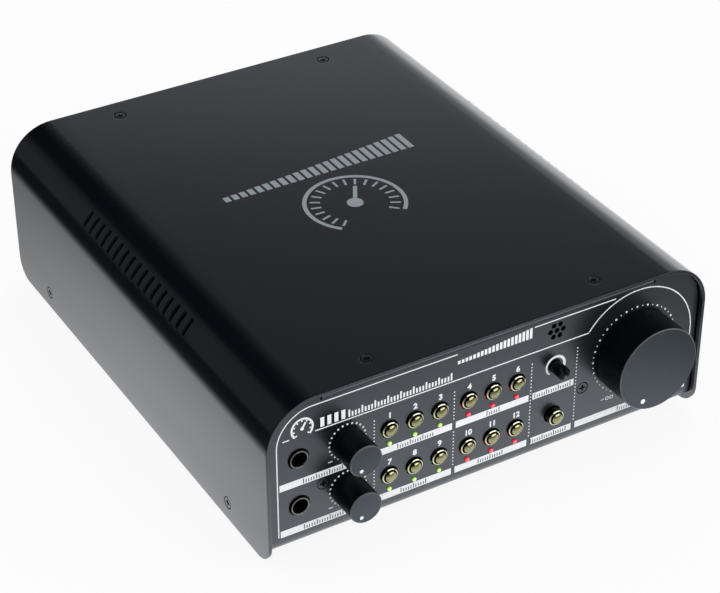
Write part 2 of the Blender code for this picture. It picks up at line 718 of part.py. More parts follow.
def chassis_holes():
    bm = bmesh.new()
    through = (-OVERRUN, CHASSIS_SHEET + OVERRUN)

    def hole(radius, place, wall, steps=ROUND_STEPS):
        rod = bmesh.new()
        add_rod(rod, radius, *through, steps)
        add_placed(bm, rod, place, wall)

    for _, place, lamp_place in button_places():
        hole(BUTTON_RADIUS + BUTTON_HOLE_GAP, place, "front")
        hole(LAMP_RADIUS + GAP, lamp_place, "front", LAMP_STEPS)
    hole(BUTTON_RADIUS + BUTTON_HOLE_GAP, on_panel(TALKBACK_COLUMN_SHARE, LOWER_BUTTON_SHARE), "front")
    hole(TALKBACK_SHAFT + GAP, on_panel(TALKBACK_COLUMN_SHARE, UPPER_LEVEL_SHARE), "front")
    hole(VOLUME_BUSH + GAP, on_panel(VOLUME_COLUMN_SHARE, VOLUME_HEIGHT_SHARE), "front")
    for height in (UPPER_LEVEL_SHARE, LOWER_LEVEL_SHARE):
        hole(LEVEL_BUSH + GAP, on_panel(LEVEL_COLUMN_SHARE, height), "front")
        hole(JACK_NOSE + JACK_NOSE_GAP, on_panel(JACK_COLUMN_SHARE, height), "front", CONNECTOR_STEPS)
    for x, z in mic_hole_places():
        hole(MIC_HOLE, (x, PANEL_FRONT, z), "front", LAMP_STEPS)
    for place in panel_screw_places():
        countersink(bm, place, "front", CHASSIS_SHEET + OVERRUN)
    for _, _, place in connector_places():
        hole(CONNECTOR_BODY + GAP, place, "rear", CONNECTOR_STEPS)
    for share, nose in zip(REAR_JACK_SHARES, (AUX_NOSE, FOOT_JACK_NOSE)):
        hole(nose + GAP, on_rear(side_of(share), REAR_JACK_HEIGHT_SHARE), "rear")
    cutout = bmesh.new()
    width, height = (size - 2 * INLET_RIM + 2 * GAP for size in (INLET_WIDTH, INLET_HEIGHT))
    add_prism(cutout, rectangle(width, height), *through)
    add_placed(bm, cutout, on_rear(side_of(INLET_SIDE_SHARE), INLET_HEIGHT_SHARE), "rear")
    for x, y, _ in top_screw_places().values():
        hole(SCREW_SHANK + GAP, (x, y, PANEL_TOP), "top", SMALL_STEPS)
    for (side, _), (x, y, z) in side_screw_places().items():
        hole(SCREW_SHANK + GAP, (math.copysign(PANEL_HALF, x), y, z), side, SMALL_STEPS)
    for x, y, _ in foot_places().values():
        hole(FOOT_NECK + GAP, (x, y, BASE_UNDER), "under", SMALL_STEPS)
    hole(BOLT_RADIUS + GAP, (*toroid_place(), BASE_UNDER), "under", SMALL_STEPS)
    return bm


def mic_hole_places():
    x, z = side_of(TALKBACK_COLUMN_SHARE), height_of(MIC_HEIGHT_SHARE)
    ring = arc((x, z), MIC_HOLE_PITCH, 0, 2 * math.pi, MIC_RING_HOLES)
    return [(x, z), *ring[1:]]


def foot_places():
    side = CASE_WIDTH / 2 - FOOT_SIDE_INSET
    front, rear = COVER_FRONT + FOOT_END_INSET, COVER_REAR - FOOT_END_INSET
    return {
        "foot_front_left": (-side, front, 0),
        "foot_front_right": (side, front, 0),
        "foot_rear_left": (-side, rear, 0),
        "foot_rear_right": (side, rear, 0),
    }


def toroid_place():
    return side_of(TOROID_SIDE_SHARE), CASE_Y + TOROID_PLACE_SHARE * COVER_DEPTH


def make_feet():
    """Tapered rubber feet, each pushed through the base with a barbed neck."""
    seat = BASE_UNDER - GAP
    barb = BASE_TOP + GAP
    profile = [(0, 0), (FOOT_RADIUS - FOOT_TAPER, 0), (FOOT_RADIUS, seat), (FOOT_NECK, seat)]
    profile += [(FOOT_NECK, barb), (FOOT_BARB, barb), (FOOT_NECK, barb + FOOT_BARB_HEIGHT)]
    profile.append((0, barb + FOOT_BARB_HEIGHT))
    bm = bmesh.new()
    add_turned(bm, profile, ROUND_STEPS)
    mesh = smooth(mesh_from("foot", bm))
    for name, place in foot_places().items():
        place_object(name, mesh, "rubber", place, "under")


def make_screws():
    """Countersunk cross-head screws: four in the top, two in each side, two in the front panel."""
    cone = SCREW_HEAD - SCREW_SHANK + SCREW_FLUSH
    bm = bmesh.new()
    profile = [(0, SCREW_FLUSH), (SCREW_HEAD, SCREW_FLUSH), (SCREW_SHANK, cone)]
    profile += [(SCREW_SHANK, SCREW_LENGTH), (0, SCREW_LENGTH)]
    add_turned(bm, profile, ROUND_STEPS)
    recess = bmesh.new()
    add_cross(recess, -OVERRUN, CROSS_DEPTH)
    mesh = worked_mesh("screw", bm, cut=recess)
    for name, place in top_screw_places().items():
        place_object(name, mesh, "screw_black", place, "top")
    for (side, end), place in side_screw_places().items():
        place_object(f"side_screw_{end}_{side}", mesh, "screw_black", place, side)
    for side, place in zip(("left", "right"), panel_screw_places()):
        place_object(f"panel_screw_{side}", mesh, "screw_black", place, "front")


def knob_mesh(name, steps, radius, height, shaft, nut, dot_share):
    """A turned knob with a softened rim, hollow behind for the nut, and a dimple for its white dot."""
    face, back = -(KNOB_GAP + height), -KNOB_GAP
    pocket_end = -(BUSH_REACH + KNOB_GAP)
    bore_end = face + SHAFT_SHARE * (pocket_end - face) / 2
    pocket, bore = nut + KNOB_RECESS_WALL, shaft + GAP
    rim = radius - KNOB_DRAFT
    profile = [(0, face), (rim - KNOB_EDGE, face), (rim, face + KNOB_EDGE), (radius, back)]
    profile += [(pocket, back), (pocket, pocket_end), (bore, pocket_end), (bore, bore_end), (0, bore_end)]
    bm = bmesh.new()
    add_turned(bm, profile, steps)
    dimple = bmesh.new()
    reach = dot_share * radius
    spot = (reach * math.sin(DOT_ANGLE), 0, reach * math.cos(DOT_ANGLE))
    add_rod(dimple, DOT_RADIUS, face - OVERRUN, face + DOT_DEPTH, SMALL_STEPS, spot)
    return worked_mesh(name, bm, cut=dimple), bore_end


def make_rotary(name, place, mesh, bore_end, shaft, bush, nut, body):
    """A knob, the shaft in it, and the fixed control whose nut holds it to the panel."""
    place_object(f"{name}_knob", mesh, "knob_grey", place)
    rear = BOARD_SETBACK - GAP
    front = CHASSIS_SHEET + GAP
    tail = front + SHAFT_SHARE * (rear - front)
    rod = bmesh.new()
    add_rod(rod, shaft, bore_end + GAP, tail - GAP, ROUND_STEPS)
    place_object(f"{name}_shaft", smooth(mesh_from("shaft", rod)), "steel", place)
    case = bmesh.new()
    add_prism(case, rounded_rectangle(body, body, CONTROL_CORNER), front, rear)
    collar = bmesh.new()
    nut_face = -GAP - NUT_THICKNESS
    profile = [(0, -BUSH_REACH), (bush, -BUSH_REACH), (bush, nut_face), (nut, nut_face)]
    profile += [(nut, -GAP), (bush, -GAP), (bush, front + SINK), (0, front + SINK)]
    add_turned(collar, profile, ROUND_STEPS)
    bore = bmesh.new()
    add_rod(bore, shaft + GAP, -BUSH_REACH - OVERRUN, tail, ROUND_STEPS)
    place_object(f"{name}_control", worked_mesh("control", case, collar, bore), "steel", place)


def make_rotaries():
    sizes = (VOLUME_KNOB_RADIUS, VOLUME_KNOB_HEIGHT, VOLUME_SHAFT, VOLUME_NUT, VOLUME_DOT_SHARE)
    mesh, end = knob_mesh("volume_knob", FINE_STEPS, *sizes)
    place = on_panel(VOLUME_COLUMN_SHARE, VOLUME_HEIGHT_SHARE)
    make_rotary("volume", place, mesh, end, VOLUME_SHAFT, VOLUME_BUSH, VOLUME_NUT, VOLUME_BODY)
    sizes = (LEVEL_KNOB_RADIUS, LEVEL_KNOB_HEIGHT, LEVEL_SHAFT, LEVEL_NUT, LEVEL_DOT_SHARE)
    mesh, end = knob_mesh("level_knob", KNOB_STEPS, *sizes)
    for number, height in ((1, UPPER_LEVEL_SHARE), (2, LOWER_LEVEL_SHARE)):
        place = on_panel(LEVEL_COLUMN_SHARE, height)
        make_rotary(f"headphone_{number}", place, mesh, end, LEVEL_SHAFT, LEVEL_BUSH, LEVEL_NUT, LEVEL_BODY)


def switch_face():
    """How far behind the panel's face a switch begins: clear of a cap pushed fully home."""
    return BUTTON_LENGTH - BUTTON_LATCHED + BUTTON_OVERTRAVEL + GAP


def stem_hole_end():
    return BUTTON_LENGTH + BUTTON_STEM_LENGTH - BUTTON_LATCHED + BUTTON_OVERTRAVEL + GAP


def make_buttons():
    """Turned push buttons: twelve latched in at rest, and the momentary one standing out."""
    rim = [(BUTTON_RADIUS - BUTTON_EDGE, 0), (BUTTON_RADIUS, BUTTON_EDGE)]
    end = BUTTON_LENGTH + BUTTON_STEM_LENGTH
    profile = [(0, 0), *rim, (BUTTON_RADIUS, BUTTON_LENGTH), (BUTTON_STEM, BUTTON_LENGTH)]
    profile += [(BUTTON_STEM, end), (0, end)]
    bm = bmesh.new()
    add_turned(bm, profile, ROUND_STEPS)
    mesh = smooth(mesh_from("button", bm))
    for name, (x, y, z), _ in button_places():
        place_object(name, mesh, "gold_chrome", (x, y - BUTTON_LATCHED, z))
    x, y, z = on_panel(TALKBACK_COLUMN_SHARE, LOWER_BUTTON_SHARE)
    place_object("button_talkback", mesh, "gold_chrome", (x, y - BUTTON_OUT, z))


def make_talkback_shaft():
    """The slim level control, with a wide slot across its end that leaves two prongs."""
    place = on_panel(TALKBACK_COLUMN_SHARE, UPPER_LEVEL_SHARE)
    bm = bmesh.new()
    tail = stem_hole_end() - 2 * GAP
    profile = [(0, -TALKBACK_PROUD), (TALKBACK_SHAFT - TALKBACK_EDGE, -TALKBACK_PROUD)]
    profile += [(TALKBACK_SHAFT, TALKBACK_EDGE - TALKBACK_PROUD), (TALKBACK_SHAFT, tail), (0, tail)]
    add_turned(bm, profile, ROUND_STEPS)
    mesh = smooth(mesh_from("talkback_level", bm))
    shaft = place_object("talkback_level_shaft", mesh, "black_plastic", place)
    slot = bmesh.new()
    start, end = -TALKBACK_PROUD - OVERRUN, TALKBACK_SLOT_DEPTH - TALKBACK_PROUD
    outline = rectangle(2 * TALKBACK_SHAFT + OVERRUN, TALKBACK_SLOT_WIDTH)
    add_prism(slot, turned_outline(outline, TALKBACK_SLOT_ANGLE), start, end)
    combine(shaft, slot, "DIFFERENCE")


def make_headphone_jacks():
    """Sockets for a headphone plug: a square body, a round nose that stands proud, and a blind bore."""
    front = CHASSIS_SHEET + GAP
    body = bmesh.new()
    add_prism(body, rectangle(JACK_BODY_WIDTH, JACK_BODY_HEIGHT), front, front + JACK_BODY_DEPTH)
    nose = bmesh.new()
    rim = [(0, -JACK_NOSE_PROUD), (JACK_NOSE - JACK_NOSE_EDGE, -JACK_NOSE_PROUD)]
    rim.append((JACK_NOSE, JACK_NOSE_EDGE - JACK_NOSE_PROUD))
    add_turned(nose, [*rim, (JACK_NOSE, front + SINK), (0, front + SINK)], CONNECTOR_STEPS)
    bore = bmesh.new()
    add_rod(bore, JACK_BORE, -JACK_NOSE_PROUD - OVERRUN, JACK_BORE_DEPTH, ROUND_STEPS)
    mesh = worked_mesh("headphone_jack", body, nose, bore)
    for number, height in ((1, UPPER_LEVEL_SHARE), (2, LOWER_LEVEL_SHARE)):
        place = on_panel(JACK_COLUMN_SHARE, height)
        place_object(f"headphone_{number}_jack", mesh, "black_plastic", place)


def make_microphone():
    """A capsule behind its seven holes, on a boot that stands on the front board."""
    front = CHASSIS_SHEET + GAP
    step, board = front + MIC_LENGTH, BOARD_SETBACK - GAP
    profile = [(0, front), (MIC_RADIUS, front), (MIC_RADIUS, step), (MIC_BOOT, step), (MIC_BOOT, board)]
    profile.append((0, board))
    bm = bmesh.new()
    add_turned(bm, profile, ROUND_STEPS)
    place = on_panel(TALKBACK_COLUMN_SHARE, MIC_HEIGHT_SHARE)
    place_object("microphone_capsule", smooth(mesh_from("microphone", bm)), "nickel", place)


def make_front_board():
    """The board behind the panel, with the switches, the lamps, the spacers and the slim control on it."""
    low = BASE_TOP + BOARD_MARGIN
    high = PANEL_TOP - CHASSIS_SHEET - BOARD_MARGIN
    half = PANEL_HALF - PANEL_CORNER / 2
    bm = bmesh.new()
    add_box(bm, (-half, BOARD_SETBACK, low), (half, BOARD_SETBACK + BOARD_SHEET, high))
    board = place_object("front_board", mesh_from("front_board", bm), "board_green", (0, PANEL_FRONT, 0))

    joined, cut = bmesh.new(), bmesh.new()
    back = BOARD_SETBACK + SINK
    dome = [(0, -LAMP_PROUD), (LAMP_RADIUS - LAMP_DOME, -LAMP_PROUD), (LAMP_RADIUS, LAMP_DOME - LAMP_PROUD)]
    for _, (x, _, z), (lamp_x, _, lamp_z) in button_places():
        add_turned(joined, [*dome, (LAMP_RADIUS, back), (0, back)], LAMP_STEPS, (lamp_x, 0, lamp_z))
        add_switch(joined, cut, (x, 0, z), BUTTON_STEM)
    side = side_of(TALKBACK_COLUMN_SHARE)
    add_switch(joined, cut, (side, 0, height_of(LOWER_BUTTON_SHARE)), BUTTON_STEM)
    add_switch(joined, cut, (side, 0, height_of(UPPER_LEVEL_SHARE)), TALKBACK_SHAFT)
    front = CHASSIS_SHEET + GAP
    for x, _, z in panel_screw_places():
        add_rod(joined, SPACER_RADIUS, front, back, SMALL_STEPS, (x, 0, z))
        add_rod(cut, SCREW_SHANK + GAP, front - OVERRUN, SCREW_LENGTH + OVERRUN, SMALL_STEPS, (x, 0, z))
    for height in (UPPER_LEVEL_SHARE, LOWER_LEVEL_SHARE):
        window = rectangle(JACK_BODY_WIDTH + 2 * GAP, JACK_BODY_HEIGHT + 2 * GAP)
        place = (side_of(JACK_COLUMN_SHARE), 0, height_of(height))
        add_prism(cut, window, BOARD_SETBACK - OVERRUN, BOARD_SETBACK + BOARD_SHEET + OVERRUN, place)
    combine(board, joined, "UNION")
    combine(board, cut, "DIFFERENCE")


def add_switch(joined, cut, place, stem):
    """A switch or control body on the front board, and the hole that the stem runs in."""
    front = switch_face()
    add_prism(joined, rectangle(SWITCH_WIDTH, SWITCH_WIDTH), front, BOARD_SETBACK + SINK, place)
    add_rod(cut, stem + GAP, front - OVERRUN, stem_hole_end(), SMALL_STEPS, place)


def make_main_board():
    """The main board on its pegs, with its capacitors, relays and chips."""
    (left, front), (right, rear) = board_span()
    low = BASE_TOP + STANDOFF_HEIGHT
    top = low + BOARD_SHEET
    bm = bmesh.new()
    add_box(bm, (left, front, low), (right, rear, top))
    board = place_object("main_board", mesh_from("main_board", bm), "board_green")

    def spot(shares):
        return left + shares[0] * (right - left), front + shares[1] * (rear - front)

    joined, cut = bmesh.new(), bmesh.new()
    for shares in CAPACITOR_SHARES:
        can = bmesh.new()
        add_rod(can, CAPACITOR_RADIUS, -SINK, CAPACITOR_HEIGHT, ROUND_STEPS)
        add_placed(joined, can, (*spot(shares), top), "under")
    for size, places in ((RELAY_SIZE, RELAY_SHARES), (CHIP_SIZE, CHIP_SHARES)):
        for x, y in map(spot, places):
            corner = (x - size[0] / 2, y - size[1] / 2, top - SINK)
            add_box(joined, corner, (x + size[0] / 2, y + size[1] / 2, top + size[2]))
    for x, y in peg_places():
        hole = bmesh.new()
        add_rod(hole, PEG_RADIUS + GAP, -OVERRUN, BOARD_SHEET + OVERRUN, SMALL_STEPS)
        add_placed(cut, hole, (x, y, low), "under")
    combine(board, joined, "UNION")
    combine(board, cut, "DIFFERENCE")


def make_transformer():
    """The toroid and the bolt through it, with the dished washer that clamps it to the base."""
    height, edge = TOROID_HEIGHT, TOROID_EDGE
    outer, inner = TOROID_RADIUS - edge, TOROID_BORE + edge
    corners = ((outer, edge), (outer, height - edge), (inner, height - edge), (inner, edge))
    profile = []
    for number, corner in enumerate(corners):
        start = (number - 1) * math.pi / 2
        profile += arc(corner, edge, start, start + math.pi / 2, EDGE_STEPS)
    bm = bmesh.new()
    add_turned(bm, profile, KNOB_STEPS)
    place = (*toroid_place(), BASE_TOP + GAP)
    place_object("transformer", smooth(mesh_from("transformer", bm)), "tape_yellow", place, "under")

    head = -(CHASSIS_SHEET + 2 * GAP)
    washer = height + GAP
    nut = washer + WASHER_SHEET
    profile = [(0, head - BOLT_HEAD_HEIGHT), (BOLT_HEAD, head - BOLT_HEAD_HEIGHT), (BOLT_HEAD, head)]
    profile += [(BOLT_RADIUS, head), (BOLT_RADIUS, washer), (WASHER_RADIUS, washer), (WASHER_RADIUS, nut)]
    profile += [(WASHER_NUT, nut), (WASHER_NUT, nut + WASHER_NUT_HEIGHT), (0, nut + WASHER_NUT_HEIGHT)]
    bm = bmesh.new()
    add_turned(bm, profile, ROUND_STEPS)
    place_object("transformer_bolt", smooth(mesh_from("transformer_bolt", bm)), "steel", place, "under")


def connector_flange():
    width = side_of(CONNECTOR_PITCH_SHARE) - CONNECTOR_SIDE_GAP
    low, high = CONNECTOR_ROW_SHARES
    height = (high - low) * CASE_HEIGHT - CONNECTOR_ROW_GAP
    return width, height


def connector_mesh(kind):
    """A three-pin connector: pins in an open shell, or a drilled insert in a ring with its latch."""
    width, height = connector_flange()
    face, seat = -GAP - CONNECTOR_FLANGE, -GAP
    bm = bmesh.new()
    add_prism(bm, rounded_rectangle(width, height, CONNECTOR_CORNER), face, seat)
    barrel = bmesh.new()
    floor, mouth = face + CONNECTOR_CAVITY_DEPTH, face - OVERRUN
    add_rod(barrel, CONNECTOR_BODY, seat - SINK, CONNECTOR_DEPTH, CONNECTOR_STEPS)
    spots = [(x * CONNECTOR_CAVITY, 0, z * CONNECTOR_CAVITY) for x, z in PIN_SHARES]
    cut = bmesh.new()
    if kind == "male":
        add_rod(cut, CONNECTOR_CAVITY, mouth, floor, CONNECTOR_STEPS)
        shell, pins = bmesh.new(), bmesh.new()
        shell.from_mesh(worked_mesh("shell", bm, barrel, cut))
        for spot in spots:
            add_rod(pins, PIN_RADIUS, face + PIN_SETBACK, floor + SINK, LAMP_STEPS, spot)
        return worked_mesh("male_connector", shell, pins)
    ring = [(CONNECTOR_INSERT, floor), (CONNECTOR_CAVITY, floor)]
    ring += [(CONNECTOR_CAVITY, mouth), (CONNECTOR_INSERT, mouth)]
    add_turned(cut, ring, CONNECTOR_STEPS)
    for spot in spots:
        add_rod(cut, PIN_HOLE, mouth, floor, LAMP_STEPS, spot)
    edge = (CONNECTOR_CAVITY + height / 2) / 2
    latch = rectangle(LATCH_WIDTH, LATCH_HEIGHT, (0, edge))
    add_prism(barrel, latch, -LATCH_PROUD, face + SINK)
    return worked_mesh("female_connector", bm, barrel, cut)


def make_connectors():
    meshes = {kind: connector_mesh(kind) for kind in ("male", "female")}
    for name, kind, place in connector_places():
        place_object(name, meshes[kind], "nickel" if kind == "male" else "black_plastic", place, "rear")


def socket_outline():
    """The mains socket's opening: a rectangle with two corners cut off."""
    x, z, cut = SOCKET_WIDTH / 2, SOCKET_HEIGHT / 2, SOCKET_CHAMFER
    return [(-x, -z), (x, -z), (x, z - cut), (x - cut, z), (cut - x, z), (-x, z - cut)]


def make_inlet():
    """The mains inlet: a flanged body with the socket's cavity and blades, and a pocket for the rocker."""
    face, seat = -GAP - INLET_FLANGE, -GAP
    place = on_rear(side_of(INLET_SIDE_SHARE), INLET_HEIGHT_SHARE)
    bm = bmesh.new()
    add_prism(bm, rounded_rectangle(INLET_WIDTH, INLET_HEIGHT, INLET_CORNER), face, seat)
    inlet = place_object("mains_inlet", mesh_from("mains_inlet", bm), "black_plastic", place, "rear")
    body = bmesh.new()
    outline = rectangle(INLET_WIDTH - 2 * INLET_RIM, INLET_HEIGHT - 2 * INLET_RIM)
    add_prism(body, outline, seat - SINK, INLET_DEPTH)
    cut = bmesh.new()
    floor = face + SOCKET_DEPTH
    add_prism(cut, socket_outline(), face - OVERRUN, floor, (-SOCKET_OFFSET, 0, 0))
    pocket = rectangle(ROCKER_WIDTH + 2 * GAP, 2 * (ROCKER_RADIUS + GAP))
    add_prism(cut, pocket, face - OVERRUN, face + ROCKER_POCKET_DEPTH, (ROCKER_OFFSET, 0, 0))
    blades = bmesh.new()
    for step, lift in ((-1, -1), (0, 1), (1, -1)):
        spot = (-SOCKET_OFFSET + step * BLADE_SPACING, 0, lift * BLADE_OFFSET)
        add_prism(blades, rectangle(BLADE_WIDTH, BLADE_HEIGHT), face + BLADE_SETBACK, floor + SINK, spot)
    combine(inlet, body, "UNION")
    combine(inlet, cut, "DIFFERENCE")
    helper = combine(inlet, blades, "UNION")
    helper.name = "mains_inlet_blades"


def make_rocker():
    """The power rocker: a double-winged key that turns on its own middle, tipped to one side."""
    x, y, z = on_rear(side_of(INLET_SIDE_SHARE) - ROCKER_OFFSET, INLET_HEIGHT_SHARE)
    ear, heel = ROCKER_EAR_ANGLE, ROCKER_HEEL_ANGLE
    radius = ROCKER_RADIUS
    right = [(radius * math.cos(a), radius * math.sin(a)) for a in (-heel, -heel / 2, 0, ear / 2, ear)]
    section = [*right, (0, ROCKER_DIP), *((-u, v) for u, v in reversed(right))]
    bm = bmesh.new()
    half = ROCKER_WIDTH / 2
    near = [bm.verts.new((-half, -v, u)) for u, v in section]
    far = [bm.verts.new((half, -v, u)) for u, v in section]
    bm.faces.new(near)
    bm.faces.new(reversed(far))
    for index, corner in enumerate(near):
        after = (index + 1) % len(near)
        bm.faces.new((corner, far[index], far[after], near[after]))
    place = (x, y + ROCKER_PIVOT, z)
    mesh = smooth(mesh_from("power_rocker", bm))
    place_object("power_rocker", mesh, "black_plastic", place, "rear", ROCKER_TILT)


def make_rear_jack(name, share, bore, nose, nut, body, depth):
    """A small round socket held to the rear wall by its nut."""
    proud, seat, inside = -REAR_JACK_PROUD, -GAP, CHASSIS_SHEET + GAP
    bore_end = depth - REAR_JACK_WALL
    profile = [(0, bore_end), (bore, bore_end), (bore, proud), (nose, proud), (nose, proud / 2 - GAP)]
    profile += [(nut, proud / 2 - GAP), (nut, seat), (nose, seat), (nose, inside), (body, inside)]
    profile += [(body, depth), (0, depth)]
    bm = bmesh.new()
    add_turned(bm, profile, ROUND_STEPS)
    place = on_rear(side_of(share), REAR_JACK_HEIGHT_SHARE)
    place_object(name, smooth(mesh_from(name, bm)), "nickel", place, "rear")


def make_rear_jacks():
    aux, foot = REAR_JACK_SHARES
    make_rear_jack("aux_jack", aux, AUX_BORE, AUX_NOSE, AUX_NUT, AUX_BODY, AUX_DEPTH)
    foot_sizes = (FOOT_JACK_BORE, FOOT_JACK_NOSE, FOOT_JACK_NUT, FOOT_JACK_BODY, FOOT_JACK_DEPTH)
    make_rear_jack("footswitch_jack", foot, *foot_sizes)


def main():
    clear_scene()
    make_cover()
    make_chassis()
    make_screws()
    make_feet()
    make_rotaries()
    make_talkback_shaft()
    make_buttons()
    make_headphone_jacks()
    make_microphone()
    make_front_board()
    make_main_board()
    make_transformer()
    make_connectors()
    make_inlet()
    make_rocker()
    make_rear_jacks()


main()
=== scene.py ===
import math

import bmesh
import bpy
import numpy as np
from mathutils import Matrix, Vector


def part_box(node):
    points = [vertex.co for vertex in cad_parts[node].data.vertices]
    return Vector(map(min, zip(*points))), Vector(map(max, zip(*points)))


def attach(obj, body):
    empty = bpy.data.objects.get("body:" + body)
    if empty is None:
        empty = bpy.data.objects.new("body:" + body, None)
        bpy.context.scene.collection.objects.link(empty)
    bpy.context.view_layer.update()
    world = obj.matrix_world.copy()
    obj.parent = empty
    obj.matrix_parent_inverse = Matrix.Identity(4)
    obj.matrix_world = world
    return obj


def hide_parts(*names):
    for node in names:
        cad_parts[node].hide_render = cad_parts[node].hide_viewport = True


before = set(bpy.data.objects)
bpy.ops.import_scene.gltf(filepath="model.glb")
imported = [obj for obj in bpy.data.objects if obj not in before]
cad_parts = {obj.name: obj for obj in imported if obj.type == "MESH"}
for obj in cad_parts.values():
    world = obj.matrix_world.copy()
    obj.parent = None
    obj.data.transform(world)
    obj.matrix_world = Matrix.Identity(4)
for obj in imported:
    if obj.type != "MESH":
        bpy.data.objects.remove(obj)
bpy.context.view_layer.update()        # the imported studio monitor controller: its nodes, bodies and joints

print("frame loaded")

# Where a wall's own +Y, which points into the case, turns to. Pieces are drawn in front of the
# viewer, with x to the right, z up and y inwards, and are then carried to their wall.
wallTurns = {
    "front": Matrix.Identity(3),
    "rear": Matrix.Rotation(math.pi, 3, "Z"),
    "left": Matrix.Rotation(-math.pi / 2, 3, "Z"),
    "right": Matrix.Rotation(math.pi / 2, 3, "Z"),
    "top": Matrix.Rotation(-math.pi / 2, 3, "X"),
    "under": Matrix.Rotation(math.pi / 2, 3, "X"),
}


def nodeSpan(node):
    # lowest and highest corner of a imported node, as arrays
    low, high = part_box(node)
    return np.array(low), np.array(high)


def nodeMiddle(node):
    low, high = nodeSpan(node)
    return (low + high) / 2


def frontSpan(node):
    # of a piece that lies along y: the middle of its front end, its radius and its length
    low, high = nodeSpan(node)
    x, _, z = (low + high) / 2
    return (x, low[1], z), (high[0] - low[0]) / 2, high[1] - low[1]


def rearSpan(node):
    # of a piece in the rear wall: its place there, its width and height, and how far it reaches in and out
    low, high = nodeSpan(node)
    x, _, z = (low + high) / 2
    return (x, rearY, z), high[0] - low[0], high[2] - low[2], rearY - low[1], high[1] - rearY


def addObject(name, data):
    obj = bpy.data.objects.new(name, data)
    bpy.context.scene.collection.objects.link(obj)
    return obj


def standing(flat, along):
    # points (x, z) stood up at one depth: (x, along, z)
    x, z = np.asarray(flat, dtype=float).T
    return np.stack([x, np.full(len(x), along), z], axis=-1)

# Mesh parts: points, the corners of the faces one after another, and how many corners each face has

def partFrom(points, corners, totals, finish=0):
    return {
        "points": np.asarray(points, dtype=float).reshape(-1, 3),
        "corners": np.asarray(corners, dtype=int).ravel(),
        "totals": np.asarray(totals, dtype=int).ravel(),
        "finish": finish,
    }


def gridPart(points, loopRows=False, loopColumns=False, keep=None, finish=0):
    # one quad for each cell of a grid of points; a loop joins the last row or column to the first
    rows, columns = points.shape[:2]
    index = np.arange(rows * columns).reshape(rows, columns)
    if loopRows:
        index = np.concatenate([index, index[:1]])
    if loopColumns:
        index = np.concatenate([index, index[:, :1]], axis=1)
    quads = np.stack([index[:-1, :-1], index[1:, :-1], index[1:, 1:], index[:-1, 1:]], axis=-1)
    quads = quads.reshape(-1, 4) if keep is None else quads[keep]
    return partFrom(points, quads, np.full(len(quads), 4), finish)


def turnedPart(profile, steps, place=(0, 0, 0), loop=False, finish=0):
    # a profile of (radius, along) carried round the y axis: x = r cos t, y = along, z = r sin t
    radius, along = np.asarray(profile, dtype=float).T
    turn = np.linspace(0, 2 * math.pi, steps, endpoint=False)[:, None]
    points = np.stack([radius * np.cos(turn), along + 0 * turn, radius * np.sin(turn)], axis=-1)
    return gridPart(points + np.asarray(place), loopRows=True, loopColumns=loop, finish=finish)


def stackedPart(outlines, finish=0):
    # closed outlines with like counts of points, joined one to the next, with a flat cap at each end
    part = gridPart(outlines, loopColumns=True, finish=finish)
    count, last = outlines.shape[1], outlines.shape[0] * outlines.shape[1]
    caps = [np.arange(count), np.arange(last - count, last)]
    part["corners"] = np.concatenate([part["corners"], *caps])
    part["totals"] = np.concatenate([part["totals"], [count, count]])
    return part


def facePart(points, finish=0):
    return partFrom(points, np.arange(len(points)), [len(points)], finish)


def meshPart(mesh, finish=0):
    points = np.empty(len(mesh.vertices) * 3)
    corners = np.empty(len(mesh.loops), dtype=int)
    totals = np.empty(len(mesh.polygons), dtype=int)
    mesh.vertices.foreach_get("co", points)
    mesh.loops.foreach_get("vertex_index", corners)
    mesh.polygons.foreach_get("loop_total", totals)
    return partFrom(points, corners, totals, finish)


def carried(parts, place, wall="front"):
    # turns each part to its wall and puts it at its place: p' = T p + place
    turn = np.array(wallTurns[wall])
    return [{**part, "points": part["points"] @ turn.T + np.asarray(place)} for part in parts]


def meshFrom(name, parts):
    offsets = np.cumsum([0] + [len(part["points"]) for part in parts[:-1]])
    points = np.concatenate([part["points"] for part in parts])
    corners = np.concatenate([part["corners"] + offset for part, offset in zip(parts, offsets)])
    totals = np.concatenate([part["totals"] for part in parts])
    finishes = np.concatenate([np.full(len(part["totals"]), part["finish"]) for part in parts])
    mesh = bpy.data.meshes.new(name)
    mesh.vertices.add(len(points))
    mesh.vertices.foreach_set("co", points.ravel())
    mesh.loops.add(len(corners))
    mesh.loops.foreach_set("vertex_index", corners)
    mesh.polygons.add(len(totals))
    mesh.polygons.foreach_set("loop_start", np.concatenate([[0], np.cumsum(totals)[:-1]]))
    mesh.polygons.foreach_set("material_index", finishes)
    mesh.update(calc_edges=True)
    return mesh


def closeUp(mesh, merge=1e-7):
    # merges the doubled points of poles and seams, and turns the faces outwards
    bm = bmesh.new()
    bm.from_mesh(mesh)
    bmesh.ops.remove_doubles(bm, verts=bm.verts, dist=merge)
    bmesh.ops.recalc_face_normals(bm, faces=bm.faces)
    bm.to_mesh(mesh)
    bm.free()
    return mesh


def solid(name, *parts):
    # one mesh of closed parts, ready to be cut
    return closeUp(meshFrom(name, parts))


def makePiece(name, parts, coats, body="case", stands=(), sharp=32):
    # one object at the origin, shaded smooth up to the sharp angle, riding on its body
    return dressed(name, solid(name, *parts), coats, body, stands, sharp)


def finePiece(node, parts, coats, sharp=40):
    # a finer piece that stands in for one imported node
    return makePiece(f"{node}_fine", parts, coats, stands=[node], sharp=sharp)


def dressed(name, mesh, coats, body="case", stands=(), sharp=32):
    # a mesh as a piece of the model; "stands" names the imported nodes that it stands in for
    mesh.shade_smooth()
    mesh.set_sharp_from_angle(angle=math.radians(sharp))
    for coat in coats:
        mesh.materials.append(finishes[coat])
    piece = addObject(name, mesh)
    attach(piece, body)
    if stands:
        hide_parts(*stands)
    return piece


